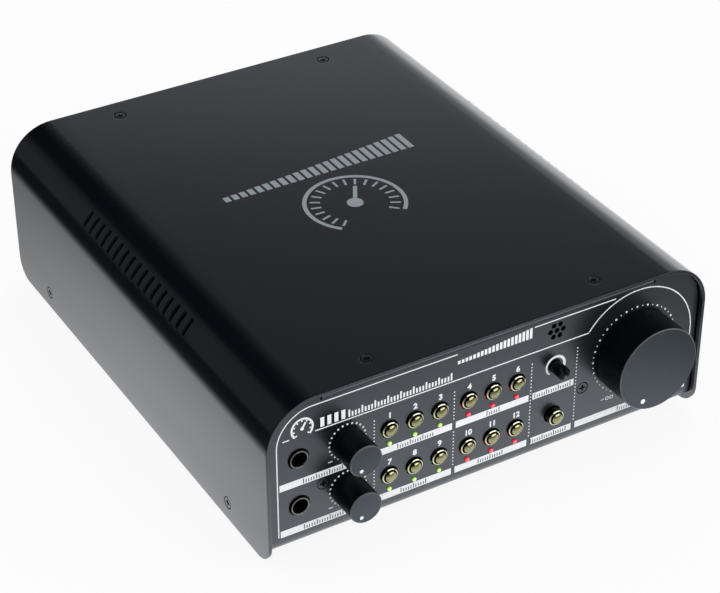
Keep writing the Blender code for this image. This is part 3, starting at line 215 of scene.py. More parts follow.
def thickened(piece, sheet):
    # gives a surface the thickness of its sheet, inwards
    wall = piece.modifiers.new("Sheet", "SOLIDIFY")
    wall.thickness = sheet
    wall.offset = -1
    wall.use_even_offset = True
    return wall


def softEdges(piece, width):
    # a rounded lip on every hard edge, with the flat faces kept flat in their shading
    bevel = piece.modifiers.new("Lip", "BEVEL")
    bevel.width = width
    bevel.segments = 2
    bevel.limit_method = "ANGLE"
    bevel.angle_limit = math.radians(30)
    bevel.use_clamp_overlap = True
    weighted = piece.modifiers.new("Even shading", "WEIGHTED_NORMAL")
    weighted.keep_sharp = False


def withModifiers(name, mesh, build):
    # works modifiers out on a helper object and returns the finished mesh
    helper = addObject(name, mesh)
    others = build(helper)
    graph = bpy.context.evaluated_depsgraph_get()
    worked = bpy.data.meshes.new_from_object(helper.evaluated_get(graph))
    for obj in [helper, *others]:
        bpy.data.objects.remove(obj, do_unlink=True)
    worked.name = name
    return worked


cutMargin = 0.001     # how far a cutter starts before the face that it cuts
seam = 0.0002         # how far a part stands off a face that it would otherwise share


def cutAway(name, mesh, cutters):
    # takes closed cutter parts out of a closed mesh
    def build(helper):
        tool = addObject("tool", solid("tool", *cutters))
        cut = helper.modifiers.new("Cut", "BOOLEAN")
        cut.operation = "DIFFERENCE"
        cut.solver = "EXACT"
        cut.object = tool
        return [tool]
    return withModifiers(name, mesh, build)


mostOfSide = 0.48     # a rounding takes at most this share of the side on either hand


def softened(points, reach, steps=4):
    # rounds each inner corner of an open line with a quadratic curve that starts and ends reach away:
    # p = (1 - t)^2 a + 2 t (1 - t) corner + t^2 b
    points = np.asarray(points, dtype=float)
    corner, before, after = points[1:-1], points[:-2], points[2:]
    back, forth = before - corner, after - corner
    lengths = [np.linalg.norm(side, axis=1, keepdims=True) for side in (back, forth)]
    starts, ends = (
        corner + side / length * np.minimum(reach, mostOfSide * length)
        for side, length in zip((back, forth), lengths)
    )
    t = np.linspace(0, 1, steps + 1)[None, :, None]
    curves = (1 - t) ** 2 * starts[:, None] + 2 * t * (1 - t) * corner[:, None] + t**2 * ends[:, None]
    return np.concatenate([points[:1], curves.reshape(-1, points.shape[1]), points[-1:]])


def arcPoints(centre, radius, start, end, steps):
    # points on an arc, in degrees anticlockwise from +x: centre + r (cos a, sin a)
    angle = np.radians(np.linspace(start, end, steps + 1))
    return np.asarray(centre) + radius * np.stack([np.cos(angle), np.sin(angle)], axis=-1)


def roundedOutline(width, height, radius, steps=6):
    # four quarter circles about the corners' own centres
    corners = ((1, 1), (-1, 1), (-1, -1), (1, -1))
    arcs = [
        arcPoints((sx * (width / 2 - radius), sz * (height / 2 - radius)), radius, 90 * k, 90 * k + 90, steps)
        for k, (sx, sz) in enumerate(corners)
    ]
    return np.concatenate(arcs)


leastRadius = 0.00005     # of a plate's upright corners


def plateStack(width, height, radius, stations, finish=0, middle=(0, 0)):
    # rounded outlines at (along, inset) stations, stacked along y
    rings = []
    for along, inset in stations:
        flat = roundedOutline(width - 2 * inset, height - 2 * inset, max(radius - inset, leastRadius))
        rings.append(standing(flat + np.asarray(middle), along))
    return stackedPart(np.array(rings), finish)


def lippedStations(start, end, lip):
    # stations of a plate from start to end whose two edges are rounded by lip
    shoulder = 0.3 * lip      # the point of the first rounding that lies between its two ends
    return [(start, lip), (start + shoulder, shoulder), (start + lip, 0), (end - lip, 0), (end, lip)]


def lippedPlate(width, height, radius, start, end, lip, finish=0, middle=(0, 0)):
    return plateStack(width, height, radius, lippedStations(start, end, lip), finish, middle)


def rodPart(radius, start, end, steps=24, place=(0, 0, 0), lip=0.0, finish=0):
    profile = [(0, start), (radius, start), (radius, end), (0, end)]
    return turnedPart(softened(profile, lip) if lip else profile, steps, place, finish=finish)


# Finishes: every one is worked out from Object coordinates

def wired(tree, kind, inputs, output=0, **settings):
    # adds a node, sets each input to a constant or links it to an output, and returns one of its own outputs
    node = tree.nodes.new(f"ShaderNode{kind}")
    for key, value in settings.items():
        setattr(node, key, value)
    for socket, value in inputs.items():
        if isinstance(value, bpy.types.NodeSocket):
            tree.links.new(value, node.inputs[socket])
        else:
            node.inputs[socket].default_value = value
    return node.outputs[output]


def shaderOf(material):
    return material.node_tree.nodes["Principled BSDF"]


def newFinish(name, colour, roughness, metallic=0.0, sockets=None):
    material = bpy.data.materials.new(name)
    material.use_nodes = True
    constants = {"Base Color": (*colour, 1), "Roughness": roughness, "Metallic": metallic, **(sockets or {})}
    for socket, value in constants.items():
        shaderOf(material).inputs[socket].default_value = value
    return material


def grain(material, scale, detail, stretch=(1, 1, 1)):
    # noise on Object coordinates, in cycles a metre, stretched where a finish runs one way
    tree = material.node_tree
    place = wired(tree, "TexCoord", {}, "Object")
    place = wired(tree, "Mapping", {"Vector": place, "Scale": stretch}, "Vector")
    return wired(tree, "TexNoise", {"Vector": place, "Scale": scale, "Detail": detail}, "Fac")


def mappedRange(tree, value, numbers, kind="LINEAR"):
    # numbers: where the range starts and ends, and the values there
    inputs = dict(zip(("From Min", "From Max", "To Min", "To Max"), numbers))
    return wired(tree, "MapRange", {"Value": value, **inputs}, "Result", interpolation_type=kind)


def remapped(material, value, low, high, fromLow=0.3, fromHigh=0.7):
    # most of the noise lies between 0.3 and 0.7
    return mappedRange(material.node_tree, value, (fromLow, fromHigh, low, high))


def shade(material, socket, value):
    material.node_tree.links.new(value, shaderOf(material).inputs[socket])


def varyColour(material, value, dark, light, socket="Base Color"):
    inputs = {0: value, 6: (*dark, 1), 7: (*light, 1)}
    shade(material, socket, wired(material.node_tree, "Mix", inputs, 2, data_type="RGBA"))


def varyRoughness(material, value, low, high):
    shade(material, "Roughness", remapped(material, value, low, high))


def varyHeight(material, value, strength, height):
    inputs = {"Height": value, "Strength": strength, "Distance": height}
    shade(material, "Normal", wired(material.node_tree, "Bump", inputs, "Normal"))


# "base" is a finish's colour, roughness and share of metal; "tones", "gloss" and "height" each hold the
# grain that varies it (scale, detail, stretch) and then the two colours, the two roughnesses, or the
# bump's strength and height in metres
finishLooks = {
    "coverPaint": {
        "base": ((0.0006, 0.0010, 0.0026), 0.18),
        "sockets": {"IOR": 2.0, "Coat Weight": 0.5, "Coat Roughness": 0.16,
                    "Specular Tint": (0.78, 0.84, 1.0, 1)},
        "tones": ((700, 3), (0.0006, 0.0010, 0.0026), (0.0010, 0.0015, 0.0034)),
        "gloss": ((900, 2), 0.16, 0.19),
        "height": ((1500, 2), 0.06, 0.00005),
    },
    "panelPaint": {
        "base": ((0.003, 0.004, 0.0055), 0.33),
        "sockets": {"IOR": 2.05, "Specular Tint": (0.82, 0.90, 1.0, 1)},
        "speckled": True,         # the grain's own range is spread out, for a harder speckle
        "tones": ((1700, 2), (0.003, 0.004, 0.0055), (0.006, 0.0075, 0.0095)),
        "gloss": ((900, 2), 0.28, 0.34),
        "height": ((1300, 3), 0.22, 0.00008),
    },
    "knobCoat": {
        "base": ((0.0012, 0.0024, 0.0040), 0.37),
        "sockets": {"IOR": 2.0, "Specular Tint": (0.72, 0.85, 1.0, 1)},
        "tones": ((220, 4), (0.0012, 0.0024, 0.0040), (0.0020, 0.0034, 0.0055)),
        "gloss": ((400, 2), 0.32, 0.38),
        "height": ((2600, 2), 0.08, 0.00003),
    },
    # a lighter copy of the knob's coat: a painted highlight on the rims' bevels
    "knobRimHighlight": {
        "base": ((0.075, 0.085, 0.09), 0.30),
        "tones": ((300, 3), (0.065, 0.075, 0.08), (0.085, 0.095, 0.10)),
    },
    # a darker, duller copy of the knob's coat: painted shade on the knobs' sides and on the talkback shaft
    "knobSideShade": {
        "base": ((0.0012, 0.0024, 0.0040), 0.42),
        "sockets": {"IOR": 1.22},
        "tones": ((220, 4), (0.0010, 0.0018, 0.0028), (0.0016, 0.0026, 0.0040)),
        "gloss": ((400, 2), 0.38, 0.46),
    },
    "paleGold": {
        "base": ((0.36, 0.35, 0.18), 0.10, 1.0),
        "tones": ((260, 3), (0.32, 0.31, 0.15), (0.40, 0.39, 0.21)),
        "gloss": ((900, 2), 0.07, 0.14),
    },
    # a lighter copy of the gold: the painted highlight on the buttons' rims
    "highlightGold": {"base": ((0.72, 0.71, 0.52), 0.10, 1.0), "gloss": ((900, 2), 0.07, 0.14)},
    # a near-black copy of the gold: the painted shade on the buttons' sides
    "shadedGold": {"base": ((0.085, 0.080, 0.050), 0.16, 1.0), "gloss": ((900, 2), 0.13, 0.20)},
    "whiteInk": {
        "base": ((0.84, 0.86, 0.88), 0.5),
        "tones": ((1200, 3), (0.78, 0.80, 0.83), (0.88, 0.90, 0.92)),
    },
    "greyInk": {
        "base": ((0.235, 0.265, 0.29), 0.42),
        "tones": ((500, 3), (0.21, 0.24, 0.265), (0.26, 0.29, 0.315)),
    },
    "darkInk": {
        "base": ((0.045, 0.048, 0.054), 0.5),
        "tones": ((900, 3), (0.035, 0.038, 0.044), (0.060, 0.063, 0.070)),
    },
    "blackMoulding": {
        "base": ((0.012, 0.012, 0.013), 0.42),
        "gloss": ((300, 3), 0.36, 0.50),
        "height": ((1800, 2), 0.08, 0.00004),
    },
    "socketLipSheen": {
        "base": ((0.055, 0.057, 0.062), 0.24),
        "sockets": {"IOR": 2.3},
        "gloss": ((600, 2), 0.18, 0.30),
    },
    # a dead black that stands in for shade: in the buttons' grooves, the screws' recesses and gaps, the
    # headphone sockets' outsides and bores, and behind the microphone holes
    "shadeBlack": {
        "base": ((0.003, 0.003, 0.003), 0.9),
        "sockets": {"Specular IOR Level": 0.02},
        "gloss": ((400, 2), 0.85, 0.95),
    },
    "satinNickel": {
        "base": ((0.52, 0.52, 0.50), 0.30, 1.0),
        "tones": ((60, 3), (0.50, 0.50, 0.48), (0.54, 0.54, 0.52)),
        "gloss": ((220, 3, (1, 1, 8)), 0.27, 0.33),
    },
    "zincSteel": {
        "base": ((0.45, 0.46, 0.47), 0.38, 1.0),
        "tones": ((90, 4), (0.38, 0.39, 0.40), (0.50, 0.51, 0.52)),
        "gloss": ((300, 3, (1, 6, 1)), 0.30, 0.48),
    },
    "footRubber": {
        "base": ((0.018, 0.018, 0.019), 0.85),
        "gloss": ((200, 3), 0.75, 0.92),
        "height": ((1100, 3), 0.25, 0.0001),
    },
    "solderMask": {
        "base": ((0.015, 0.085, 0.035), 0.38),
        "tones": ((160, 4), (0.010, 0.060, 0.024), (0.022, 0.115, 0.048)),
    },
    "coreTape": {
        "base": ((0.60, 0.44, 0.10), 0.42),
        "tones": ((90, 3, (1, 1, 5)), (0.50, 0.35, 0.07), (0.68, 0.52, 0.15)),
        "height": ((240, 2, (1, 1, 4)), 0.3, 0.0003),
    },
}
lampFinishes = {
    "rise": (0.00035, 0.00090),     # how far in front of the panel the pale core fades in
    "roughness": 0.25,
    "gloss": ((700, 2), 0.18, 0.32),
    "greenLamp": ((0.045, 0.156, 0.007), (0.75, 0.90, 0.40)),       # the lens's edge and its core
    "redLamp": ((0.300, 0.010, 0.022), (0.87, 0.12, 0.20)),
}


def makeFinish(name, look):
    finish = newFinish(name, *look["base"], sockets=look.get("sockets"))
    if "tones" in look:
        settings, dark, light = look["tones"]
        value = grain(finish, *settings)
        varyColour(finish, remapped(finish, value, 0, 1) if look.get("speckled") else value, dark, light)
    for key, vary in (("gloss", varyRoughness), ("height", varyHeight)):
        if key in look:
            settings, *amounts = look[key]
            vary(finish, grain(finish, *settings), *amounts)
    return finish


def makeLampFinish(name):
    # the colour fades from the lens's edge to its core along the way out of the panel
    edge, core = lampFinishes[name]
    foot, nose = (nodeSpan("chassis")[0][1] - rise for rise in lampFinishes["rise"])
    sockets = {"Emission Strength": 1.0, "Coat Weight": 0.5}
    lamp = newFinish(name, edge, lampFinishes["roughness"], sockets=sockets)
    place = wired(lamp.node_tree, "TexCoord", {}, "Object")
    out = wired(lamp.node_tree, "SeparateXYZ", {0: place}, "Y")
    varyColour(lamp, remapped(lamp, out, 0, 1, foot, nose), edge, core, "Emission Color")
    settings, *amounts = lampFinishes["gloss"]
    varyRoughness(lamp, grain(lamp, *settings), *amounts)
    return lamp


finishes = {name: makeFinish(name, look) for name, look in finishLooks.items()}
finishes |= {name: makeLampFinish(name) for name in ("greenLamp", "redLamp")}
print("finishes made")

# The cover: one sheet over the top and both sides, with its vent slots and screw holes

coverLook = {
    "sheet": 0.0015,
    "roll": 0.022,
    "lowerCorner": 0.010,
    "printStep": 0.00005,     # the paint lies this far under the print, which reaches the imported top
    "slots": 17,
    "slotPitch": 0.0061,
    "slotWidth": 0.0025,
    "slotAngles": (29, 52),   # from the shoulder, in degrees
    "slotMargin": 0.003,
    "slotShadeMargin": 8,         # faces within this many degrees of the slots have walls painted a dull black as shade
    "holeRadius": 0.0029,
    "holeCells": 12,
    "coarse": 0.008,
    "lip": 0.00022,
}


def linesThrough(start, end, blocks, coarse):
    # grid lines: the given blocks as they are, and even steps of at most coarse between them
    lines, last, near = [np.array([start])], start, 1e-6
    for block in [*sorted(blocks, key=lambda block: block[0]), np.array([end])]:
        if block[0] > last + near:
            count = max(1, math.ceil((block[0] - last) / coarse))
            lines.append(np.linspace(last, block[0], count + 1)[1:])
        lines.append(block[1:])
        last = block[-1]
    return np.concatenate(lines)


def roundFrom(a, b):
    # the square loops round (0, 0) bent into circles of the same reach
    reach = np.maximum(np.abs(a), np.abs(b))
    safe = np.where(reach > 0, reach, 1)
    wide = np.abs(a) >= np.abs(b)
    angle = np.where(wide, math.pi / 4 * b / safe, math.pi / 4 * a / safe)
    along, across = reach * np.cos(angle), reach * np.sin(angle)
    return (
        np.where(wide, np.sign(a) * along, across),
        np.where(wide, across, np.sign(b) * along),
    )


def fadedRound(a, b, inner, outer):
    # circles up to the inner reach, and from there a fade into the square loops at the outer one
    fade = np.clip((np.maximum(np.abs(a), np.abs(b)) - inner) / (outer - inner), 0, 1)
    return [bent + (square - bent) * fade for bent, square in zip(roundFrom(a, b), (a, b))]


def makeCover():
    look, pitch, slots = coverLook, coverLook["slotPitch"], coverLook["slots"]
    low, high = nodeSpan("cover")
    high = high - (0, 0, look["printStep"])
    half, roll = high[0], look["roll"]
    plate = high[2] - low[2] - roll
    arc = roll * math.pi / 2
    total = 2 * (plate + arc + half - roll)

    # along the section, s runs up the left plate, over the rolled corners and the top, and down
    slotEnds = [roll * math.radians(angle) for angle in look["slotAngles"]]
    leftSlot, slotHalf = plate + sum(slotEnds) / 2, (slotEnds[1] - slotEnds[0]) / 2
    wide = look["slotWidth"] / 2
    straight = slotHalf - wide
    outer = np.linspace(slotHalf, slotHalf + look["slotMargin"], 4)[1:]
    upper = np.concatenate([straight + np.array([0, 0.5, 1]) * wide, outer])
    slotLines = np.concatenate([-upper[::-1], np.linspace(-straight, straight, 9)[1:-1], upper])
    block = 2 * look["holeRadius"]
    holeLines = np.linspace(-block, block, look["holeCells"] + 1)
    side = nodeMiddle("side_screw_front_left")[2] - low[2]
    top = abs(nodeMiddle("cover_screw_front_left")[0])
    topLine = [total / 2 - top, total / 2 + top]
    sideLine = [side, total - side]
    sBlocks = [side + holeLines, leftSlot + slotLines, topLine[0] + holeLines]
    sBlocks.append(np.linspace(leftSlot + upper[-1], plate + arc, 6))
    sBlocks.append(np.linspace(plate, leftSlot - upper[-1], 6))
    sBlocks += [total - lines[::-1] for lines in sBlocks]
    s = linesThrough(0, total, sBlocks, look["coarse"])

    screwsTop = [nodeMiddle(f"cover_screw_{end}_left")[1] for end in ("front", "rear")]
    screwsSide = [nodeMiddle(f"side_screw_{end}_left")[1] for end in ("front", "rear")]
    centre = (low[1] + high[1]) / 2
    first = centre - (slots - 1) / 2 * pitch
    across = np.array([-pitch / 2, -wide, -wide / 2, 0, wide / 2, wide])
    slotRows = first + np.concatenate([k * pitch + across for k in range(slots)])
    slotRows = np.append(slotRows, slotRows[0] + slots * pitch)
    yBlocks = [place + holeLines for place in (*screwsTop, *screwsSide)] + [slotRows]
    yBlocks.append(np.linspace(low[1], screwsTop[0] - block, 6))
    yBlocks.append(np.linspace(screwsTop[1] + block, high[1], 8))
    y = linesThrough(low[1], high[1], yBlocks, look["coarse"])

    cellS, cellY = (s[:-1] + s[1:])[:, None] / 2, (y[:-1] + y[1:])[None] / 2
    gridS, gridY = np.meshgrid(s, y, indexing="ij")
    keep = np.ones((len(s) - 1, len(y) - 1), dtype=bool)

    # slots: the square ends of each opening are bent into half circles
    def rowOf(place):
        return np.clip(np.round((place - first) / pitch), 0, slots - 1)

    for middle in (leftSlot, total - leftSlot):
        rowY = first + rowOf(gridY) * pitch
        b = (gridY - rowY) / wide
        reach = np.abs(s - middle)[:, None] - straight
        a, far = reach / wide, pitch / 2 / wide
        inside = (a > 0) & (np.abs(b) <= far + 1e-6) & (reach < wide + look["slotMargin"])
        newA, newB = fadedRound(np.maximum(a, 0), b, 1, far)
        outward = np.sign(s - middle)[:, None]
        gridS = np.where(inside, middle + outward * (straight + newA * wide), gridS)
        gridY = np.where(inside, rowY + newB * wide, gridY)
        offY = np.abs(cellY - first - rowOf(cellY) * pitch)
        keep &= ~((np.abs(cellS - middle) < slotHalf) & (offY < wide))

    # screw holes: the middle cells are dropped and their edge is bent into a circle
    spots = [(a, b) for a in topLine for b in screwsTop] + [(a, b) for a in sideLine for b in screwsSide]
    radius = look["holeRadius"]
    for spotS, spotY in spots:
        a, b = np.broadcast_arrays((s[:, None] - spotS) / block, (y[None] - spotY) / block)
        inside = np.maximum(np.abs(a), np.abs(b)) < 1
        newA, newB = fadedRound(a, b, 0.5, 1)
        gridS = np.where(inside, spotS + newA * block, gridS)
        gridY = np.where(inside, spotY + newB * block, gridY)
        keep &= ~((np.abs(cellS - spotS) < radius) & (np.abs(cellY - spotY) < radius))

    # lower corners: the square corner of each plate is bent into a quarter circle
    fromEdge = np.minimum(gridS, total - gridS)
    corner = look["lowerCorner"]
    a = (corner - fromEdge) / corner
    for sign, end in ((-1, low[1]), (1, high[1])):
        b = 1 - sign * (end - gridY) / corner
        inside = (a > 0) & (b > 0)
        bentA, bentB = roundFrom(np.where(inside, a, 0), np.where(inside, b, 0))
        newEdge = corner - bentA * corner
        gridS = np.where(inside, np.where(gridS < total / 2, newEdge, total - newEdge), gridS)
        gridY = np.where(inside, end - sign * (1 - bentB) * corner, gridY)

    # the section: up the plate, round the corner, across the top, and the mirror of that
    t = np.minimum(gridS, total - gridS)
    angle = np.clip((t - plate) / roll, 0, math.pi / 2)
    x = -(half - roll) - roll * np.cos(angle) + np.clip(t - plate - arc, 0, None)
    z = low[2] + np.clip(t, 0, plate) + roll * np.sin(angle)
    x = np.where(gridS > total / 2, -x, x)
    mesh = solid("cover_shell", gridPart(np.stack([x, gridY, z], axis=-1), keep=keep))
    if mesh.polygons[0].normal.x > 0:
        mesh.flip_normals()

    # the slots' walls are painted a dull black as shade: the sheet's rims take the finish after that of the
    # faces beside them
    spots = np.array([tuple(polygon.center) for polygon in mesh.polygons])
    above = spots[:, 2] - (low[2] + plate)
    lift = np.degrees(np.arctan2(above, np.abs(spots[:, 0]) - (half - roll)))
    least, most = look["slotAngles"]
    beside = np.abs(spots[:, 1] - centre) < (slots + 1) / 2 * pitch
    near = (lift > least - look["slotShadeMargin"]) & (lift < most + look["slotShadeMargin"]) & beside
    mesh.polygons.foreach_set("material_index", near.astype(np.int32))
    coats = ["coverPaint", "coverPaint", "blackMoulding"]
    piece = dressed("cover_shell", mesh, coats, stands=["cover"], sharp=60)
    thickened(piece, look["sheet"]).material_offset_rim = 1
    softEdges(piece, look["lip"])


makeCover()
print("cover made")

# The chassis: front panel, base and rear wall folded from one sheet

chassisLook = {
    "sheet": 0.0015,
    "corner": 0.0199,
    "lowerBend": 0.0075,
    "flangeBend": 0.003,
    "flangeDepth": 0.020,
    "flangeHalf": 0.0805,
    "notch": 0.0010,
    "bendSteps": 10,
    "gap": 0.0003,
    "through": 0.002,
    "buttonHole": 0.0043,
    "lampHole": 0.00130,
    "talkbackHole": 0.0032,
    "volumeHole": 0.0048,
    "levelHole": 0.0035,
    "jackHole": 0.0049,
    "micHole": 0.00125,
    "micPitch": 0.0032,
    "micRise": 0.0663,        # above the case's lower edge
    "screwHole": 0.0029,
    "connectorHole": 0.0108,
    "auxHole": 0.0032,
    "footswitchHole": 0.0050,
    "inletRim": 0.0017,
    "inletCorner": 0.0003,
    "lampDrops": {"upper": 0.0073, "lower": 0.0071},
    "lip": 0.00016,
}

buttonRows = {
    "upper": ("speaker_a", "speaker_b", "speaker_c", "cut_left", "mute", "cut_right"),
    "lower": ("input_1", "input_2", "input_aux", "phase_reverse", "mono", "dim"),
}
latching = [name for names in buttonRows.values() for name in names]
ends, sides = ("front", "rear"), ("left", "right")
caseLow, caseHigh = nodeSpan("cover")
panelLow, panelHigh = nodeSpan("chassis")
panelY, rearY = panelLow[1], panelHigh[1]


def lampPlaces():
    # under each latching button, by its row's drop: the place and the side that the lamp belongs to
    places = []
    for row, names in buttonRows.items():
        for count, name in enumerate(names):
            x, _, z = nodeMiddle(f"button_{name}")
            places.append((name, x, z - chassisLook["lampDrops"][row], "green" if count < 3 else "red"))
    return places


def micPlaces():
    x = nodeMiddle("button_talkback")[0]
    z = caseLow[2] + chassisLook["micRise"]
    ring = arcPoints((x, z), chassisLook["micPitch"], 0, 300, 5)
    return [(x, z), *ring]


def connectorNames():
    outputs = [f"output_{pair}_{side}_connector" for pair in "abc" for side in sides]
    return outputs + [f"input_{pair}_{side}_connector" for pair in "12" for side in sides]


def punchedHoles():
    # closed rods and a block, one for each hole of the front and rear walls
    look, holes = chassisLook, []
    depth = (-look["through"], look["sheet"] + look["through"])

    def punch(hole, x, z, wall="front", steps=40):
        y = panelY if wall == "front" else rearY
        holes.extend(carried([rodPart(look[hole], *depth, steps)], (x, y, z), wall))

    def punchAt(node, hole, **settings):
        x, _, z = nodeMiddle(node)
        punch(hole, x, z, **settings)

    for name in latching:
        punchAt(f"button_{name}", "buttonHole")
    for _, x, z, _ in lampPlaces():
        punch("lampHole", x, z, steps=24)
    punchAt("button_talkback", "buttonHole")
    punchAt("talkback_level_shaft", "talkbackHole")
    punchAt("volume_knob", "volumeHole")
    for number in (1, 2):
        punchAt(f"headphone_{number}_knob", "levelHole")
        punchAt(f"headphone_{number}_jack", "jackHole", steps=56)
    for x, z in micPlaces():
        punch("micHole", x, z, steps=20)
    for side in sides:
        punchAt(f"panel_screw_{side}", "screwHole")
    for name in connectorNames():
        punchAt(name, "connectorHole", wall="rear")
    for name in ("aux", "footswitch"):
        punchAt(f"{name}_jack", f"{name}Hole", wall="rear")
    low, high = nodeSpan("mains_inlet")
    width, _, height = high - low - 2 * look["inletRim"]
    block = plateStack(width, height, look["inletCorner"], [(along, 0) for along in depth])
    holes.extend(carried([block], ((low[0] + high[0]) / 2, rearY, (low[2] + high[2]) / 2), "rear"))
    return holes


def makeChassis():
    look = chassisLook
    half, top, under = panelHigh[0], panelHigh[2], panelLow[2]
    bend, corner, fold = look["flangeBend"], look["corner"], look["lowerBend"]
    ear, steps = look["flangeHalf"] + look["notch"], look["bendSteps"]
    right = np.concatenate([
        [(look["flangeHalf"], top - bend), (ear, top - bend), (ear, top)],
        arcPoints((half - corner, top - corner), corner, 90, 0, 2 * steps),
        [(half, under + fold)],
    ])
    outline = np.concatenate([right, right[::-1] * (-1, 1)])
    parts = []

    def strip(line, reach):
        # one width of sheet along a line of (y, z) points
        y, z = np.asarray(line).T
        sides = [np.stack([np.full(len(y), side * reach), y, z], axis=-1) for side in (-1, 1)]
        parts.append(gridPart(np.stack(sides, axis=1)))

    for wall, inward in ((panelY, 1), (rearY, -1)):
        parts.append(facePart(standing(outline, wall)))
        away = 180 if inward > 0 else 0
        strip(arcPoints((wall + inward * fold, under + fold), fold, away, away + 90 * inward, steps), half)
        upper = arcPoints((wall + inward * bend, top - bend), bend, away, away - 90 * inward, steps)
        strip([*upper, (wall + inward * look["flangeDepth"], top)], look["flangeHalf"])
    base = [(-half, panelY + fold), (half, panelY + fold), (half, rearY - fold), (-half, rearY - fold)]
    parts.append(facePart([(x, y, under) for x, y in base]))
    mesh = closeUp(meshFrom("chassis_sheet", parts), 1e-6)
    front = max(mesh.polygons, key=lambda face: -face.center.y)
    if front.normal.y > 0:
        mesh.flip_normals()

    def thicken(helper):
        thickened(helper, look["sheet"])
        return []

    sheet = withModifiers("chassis_sheet", mesh, thicken)
    punched = cutAway("chassis_sheet", sheet, punchedHoles())
    piece = dressed("chassis_sheet", punched, ["panelPaint"], stands=["chassis"])
    softEdges(piece, look["lip"])


makeChassis()
print("chassis made")

# Countersunk cross-head screws

screwLook = {
    "head": 0.0025,
    "gap": (0.00288, 0.0004, 0.0007),       # a ring behind the head's rim, painted black as the gap's shade: its radius and depths
    "shank": 0.0015,
    "length": 0.006,
    "flush": 0.00008,
    "rim": 0.00018,
    "soft": 0.00020,
    "crossReach": 0.00172,
    "crossWidth": 0.00100,
    "crossStart": (-0.0005, 1.1),           # the recess starts before the head, a little wider
    "crossDepth": 0.00125,
    "crossTaper": 0.45,
    "shade": (0.00008, 0.97, 0.0001),       # a black filling of the recess, painted shade: its start, share of the width, and gap under it
    "steps": 48,
}


def screwPart():
    look = screwLook
    cone = look["head"] - look["shank"]
    profile = [(0, 0), (look["head"], 0), (look["head"], look["rim"]), (look["shank"], cone + look["rim"]),
               (look["shank"], look["length"]), (0, look["length"])]
    body = solid("screw", turnedPart(softened(profile, look["soft"]), look["steps"]))

    # the recess is a cross that narrows with depth
    reach, width = look["crossReach"], look["crossWidth"] / 2
    wing = np.array([(reach, -width), (reach, width), (width, width)])
    angles = np.arange(4) * math.pi / 2
    turns = [np.array([[math.cos(a), math.sin(a)], [-math.sin(a), math.cos(a)]]) for a in angles]
    cross = np.concatenate([wing @ turn for turn in turns])

    def crossPart(stations, finish=0):
        return stackedPart(np.array([standing(cross * share, along) for along, share in stations]), finish)

    (before, wider), depth, taper = look["crossStart"], look["crossDepth"], look["crossTaper"]
    start, narrow, gap = look["shade"]
    recess = crossPart([(before, wider), (depth, taper)])
    within = wider + (taper - wider) * (start - before) / (depth - before)
    # the recess's filling and the ring in the gap are painted black as shade
    shade = crossPart([(start, within * narrow), (depth - gap, taper * narrow)], 1)
    ring, near, far = look["gap"]
    rim = rodPart(ring, near, far, look["steps"], finish=1)
    return [meshPart(cutAway("screw", body, [recess])), shade, rim]


def makeScrews():
    screw, flush = screwPart(), screwLook["flush"]
    walls = {f"cover_screw_{end}_{side}": "top" for end in ends for side in sides}
    walls |= {f"side_screw_{end}_{side}": side for end in ends for side in sides}
    walls |= {f"panel_screw_{side}": "front" for side in sides}
    inward = {"top": (0, 0, -1), "left": (1, 0, 0), "right": (-1, 0, 0), "front": (0, 1, 0)}
    faces = {"top": caseHigh, "right": caseHigh, "left": caseLow, "front": panelLow}
    for name, wall in walls.items():
        axis = np.array(inward[wall])
        place = np.where(axis != 0, faces[wall], nodeMiddle(name)) + axis * flush
        coats = ["panelPaint" if wall == "front" else "coverPaint", "shadeBlack"]
        finePiece(name, carried(screw, place, wall), coats)


makeScrews()
print("screws made")

# Knobs, with their white dots

volumeLook = {
    "rim": 0.00045,
    "steps": 160,
    "crown": 0.00010,
    "dotRadius": 0.00115,
    "dotReach": 0.0158,
    "dotTurn": -153.5,        # the dot stands at the low end of the scale, in degrees from the top
    "pocket": 0.0076,
    "pocketDepth": 0.0060,
}
levelLook = {
    "rim": 0.00050,
    "steps": 96,
    "crown": 0.00010,
    "dotRadius": 0.00085,
    "dotReach": 0.0046,
    "dotTurn": -150,
    "pocket": 0.0049,
    "pocketDepth": 0.0060,
}
dotLook = {"rise": (0.00004, 0.00003), "back": 0.0003, "soft": 0.00002, "steps": 28}
knobShape = {
    "bevelShare": 2.4,        # the flat face ends this many rims from the outside
    "softShare": 0.45,        # its corners are rounded by this share of the rim,
    "softSteps": 5,           # in this many steps
    "faceSteps": 8,
}


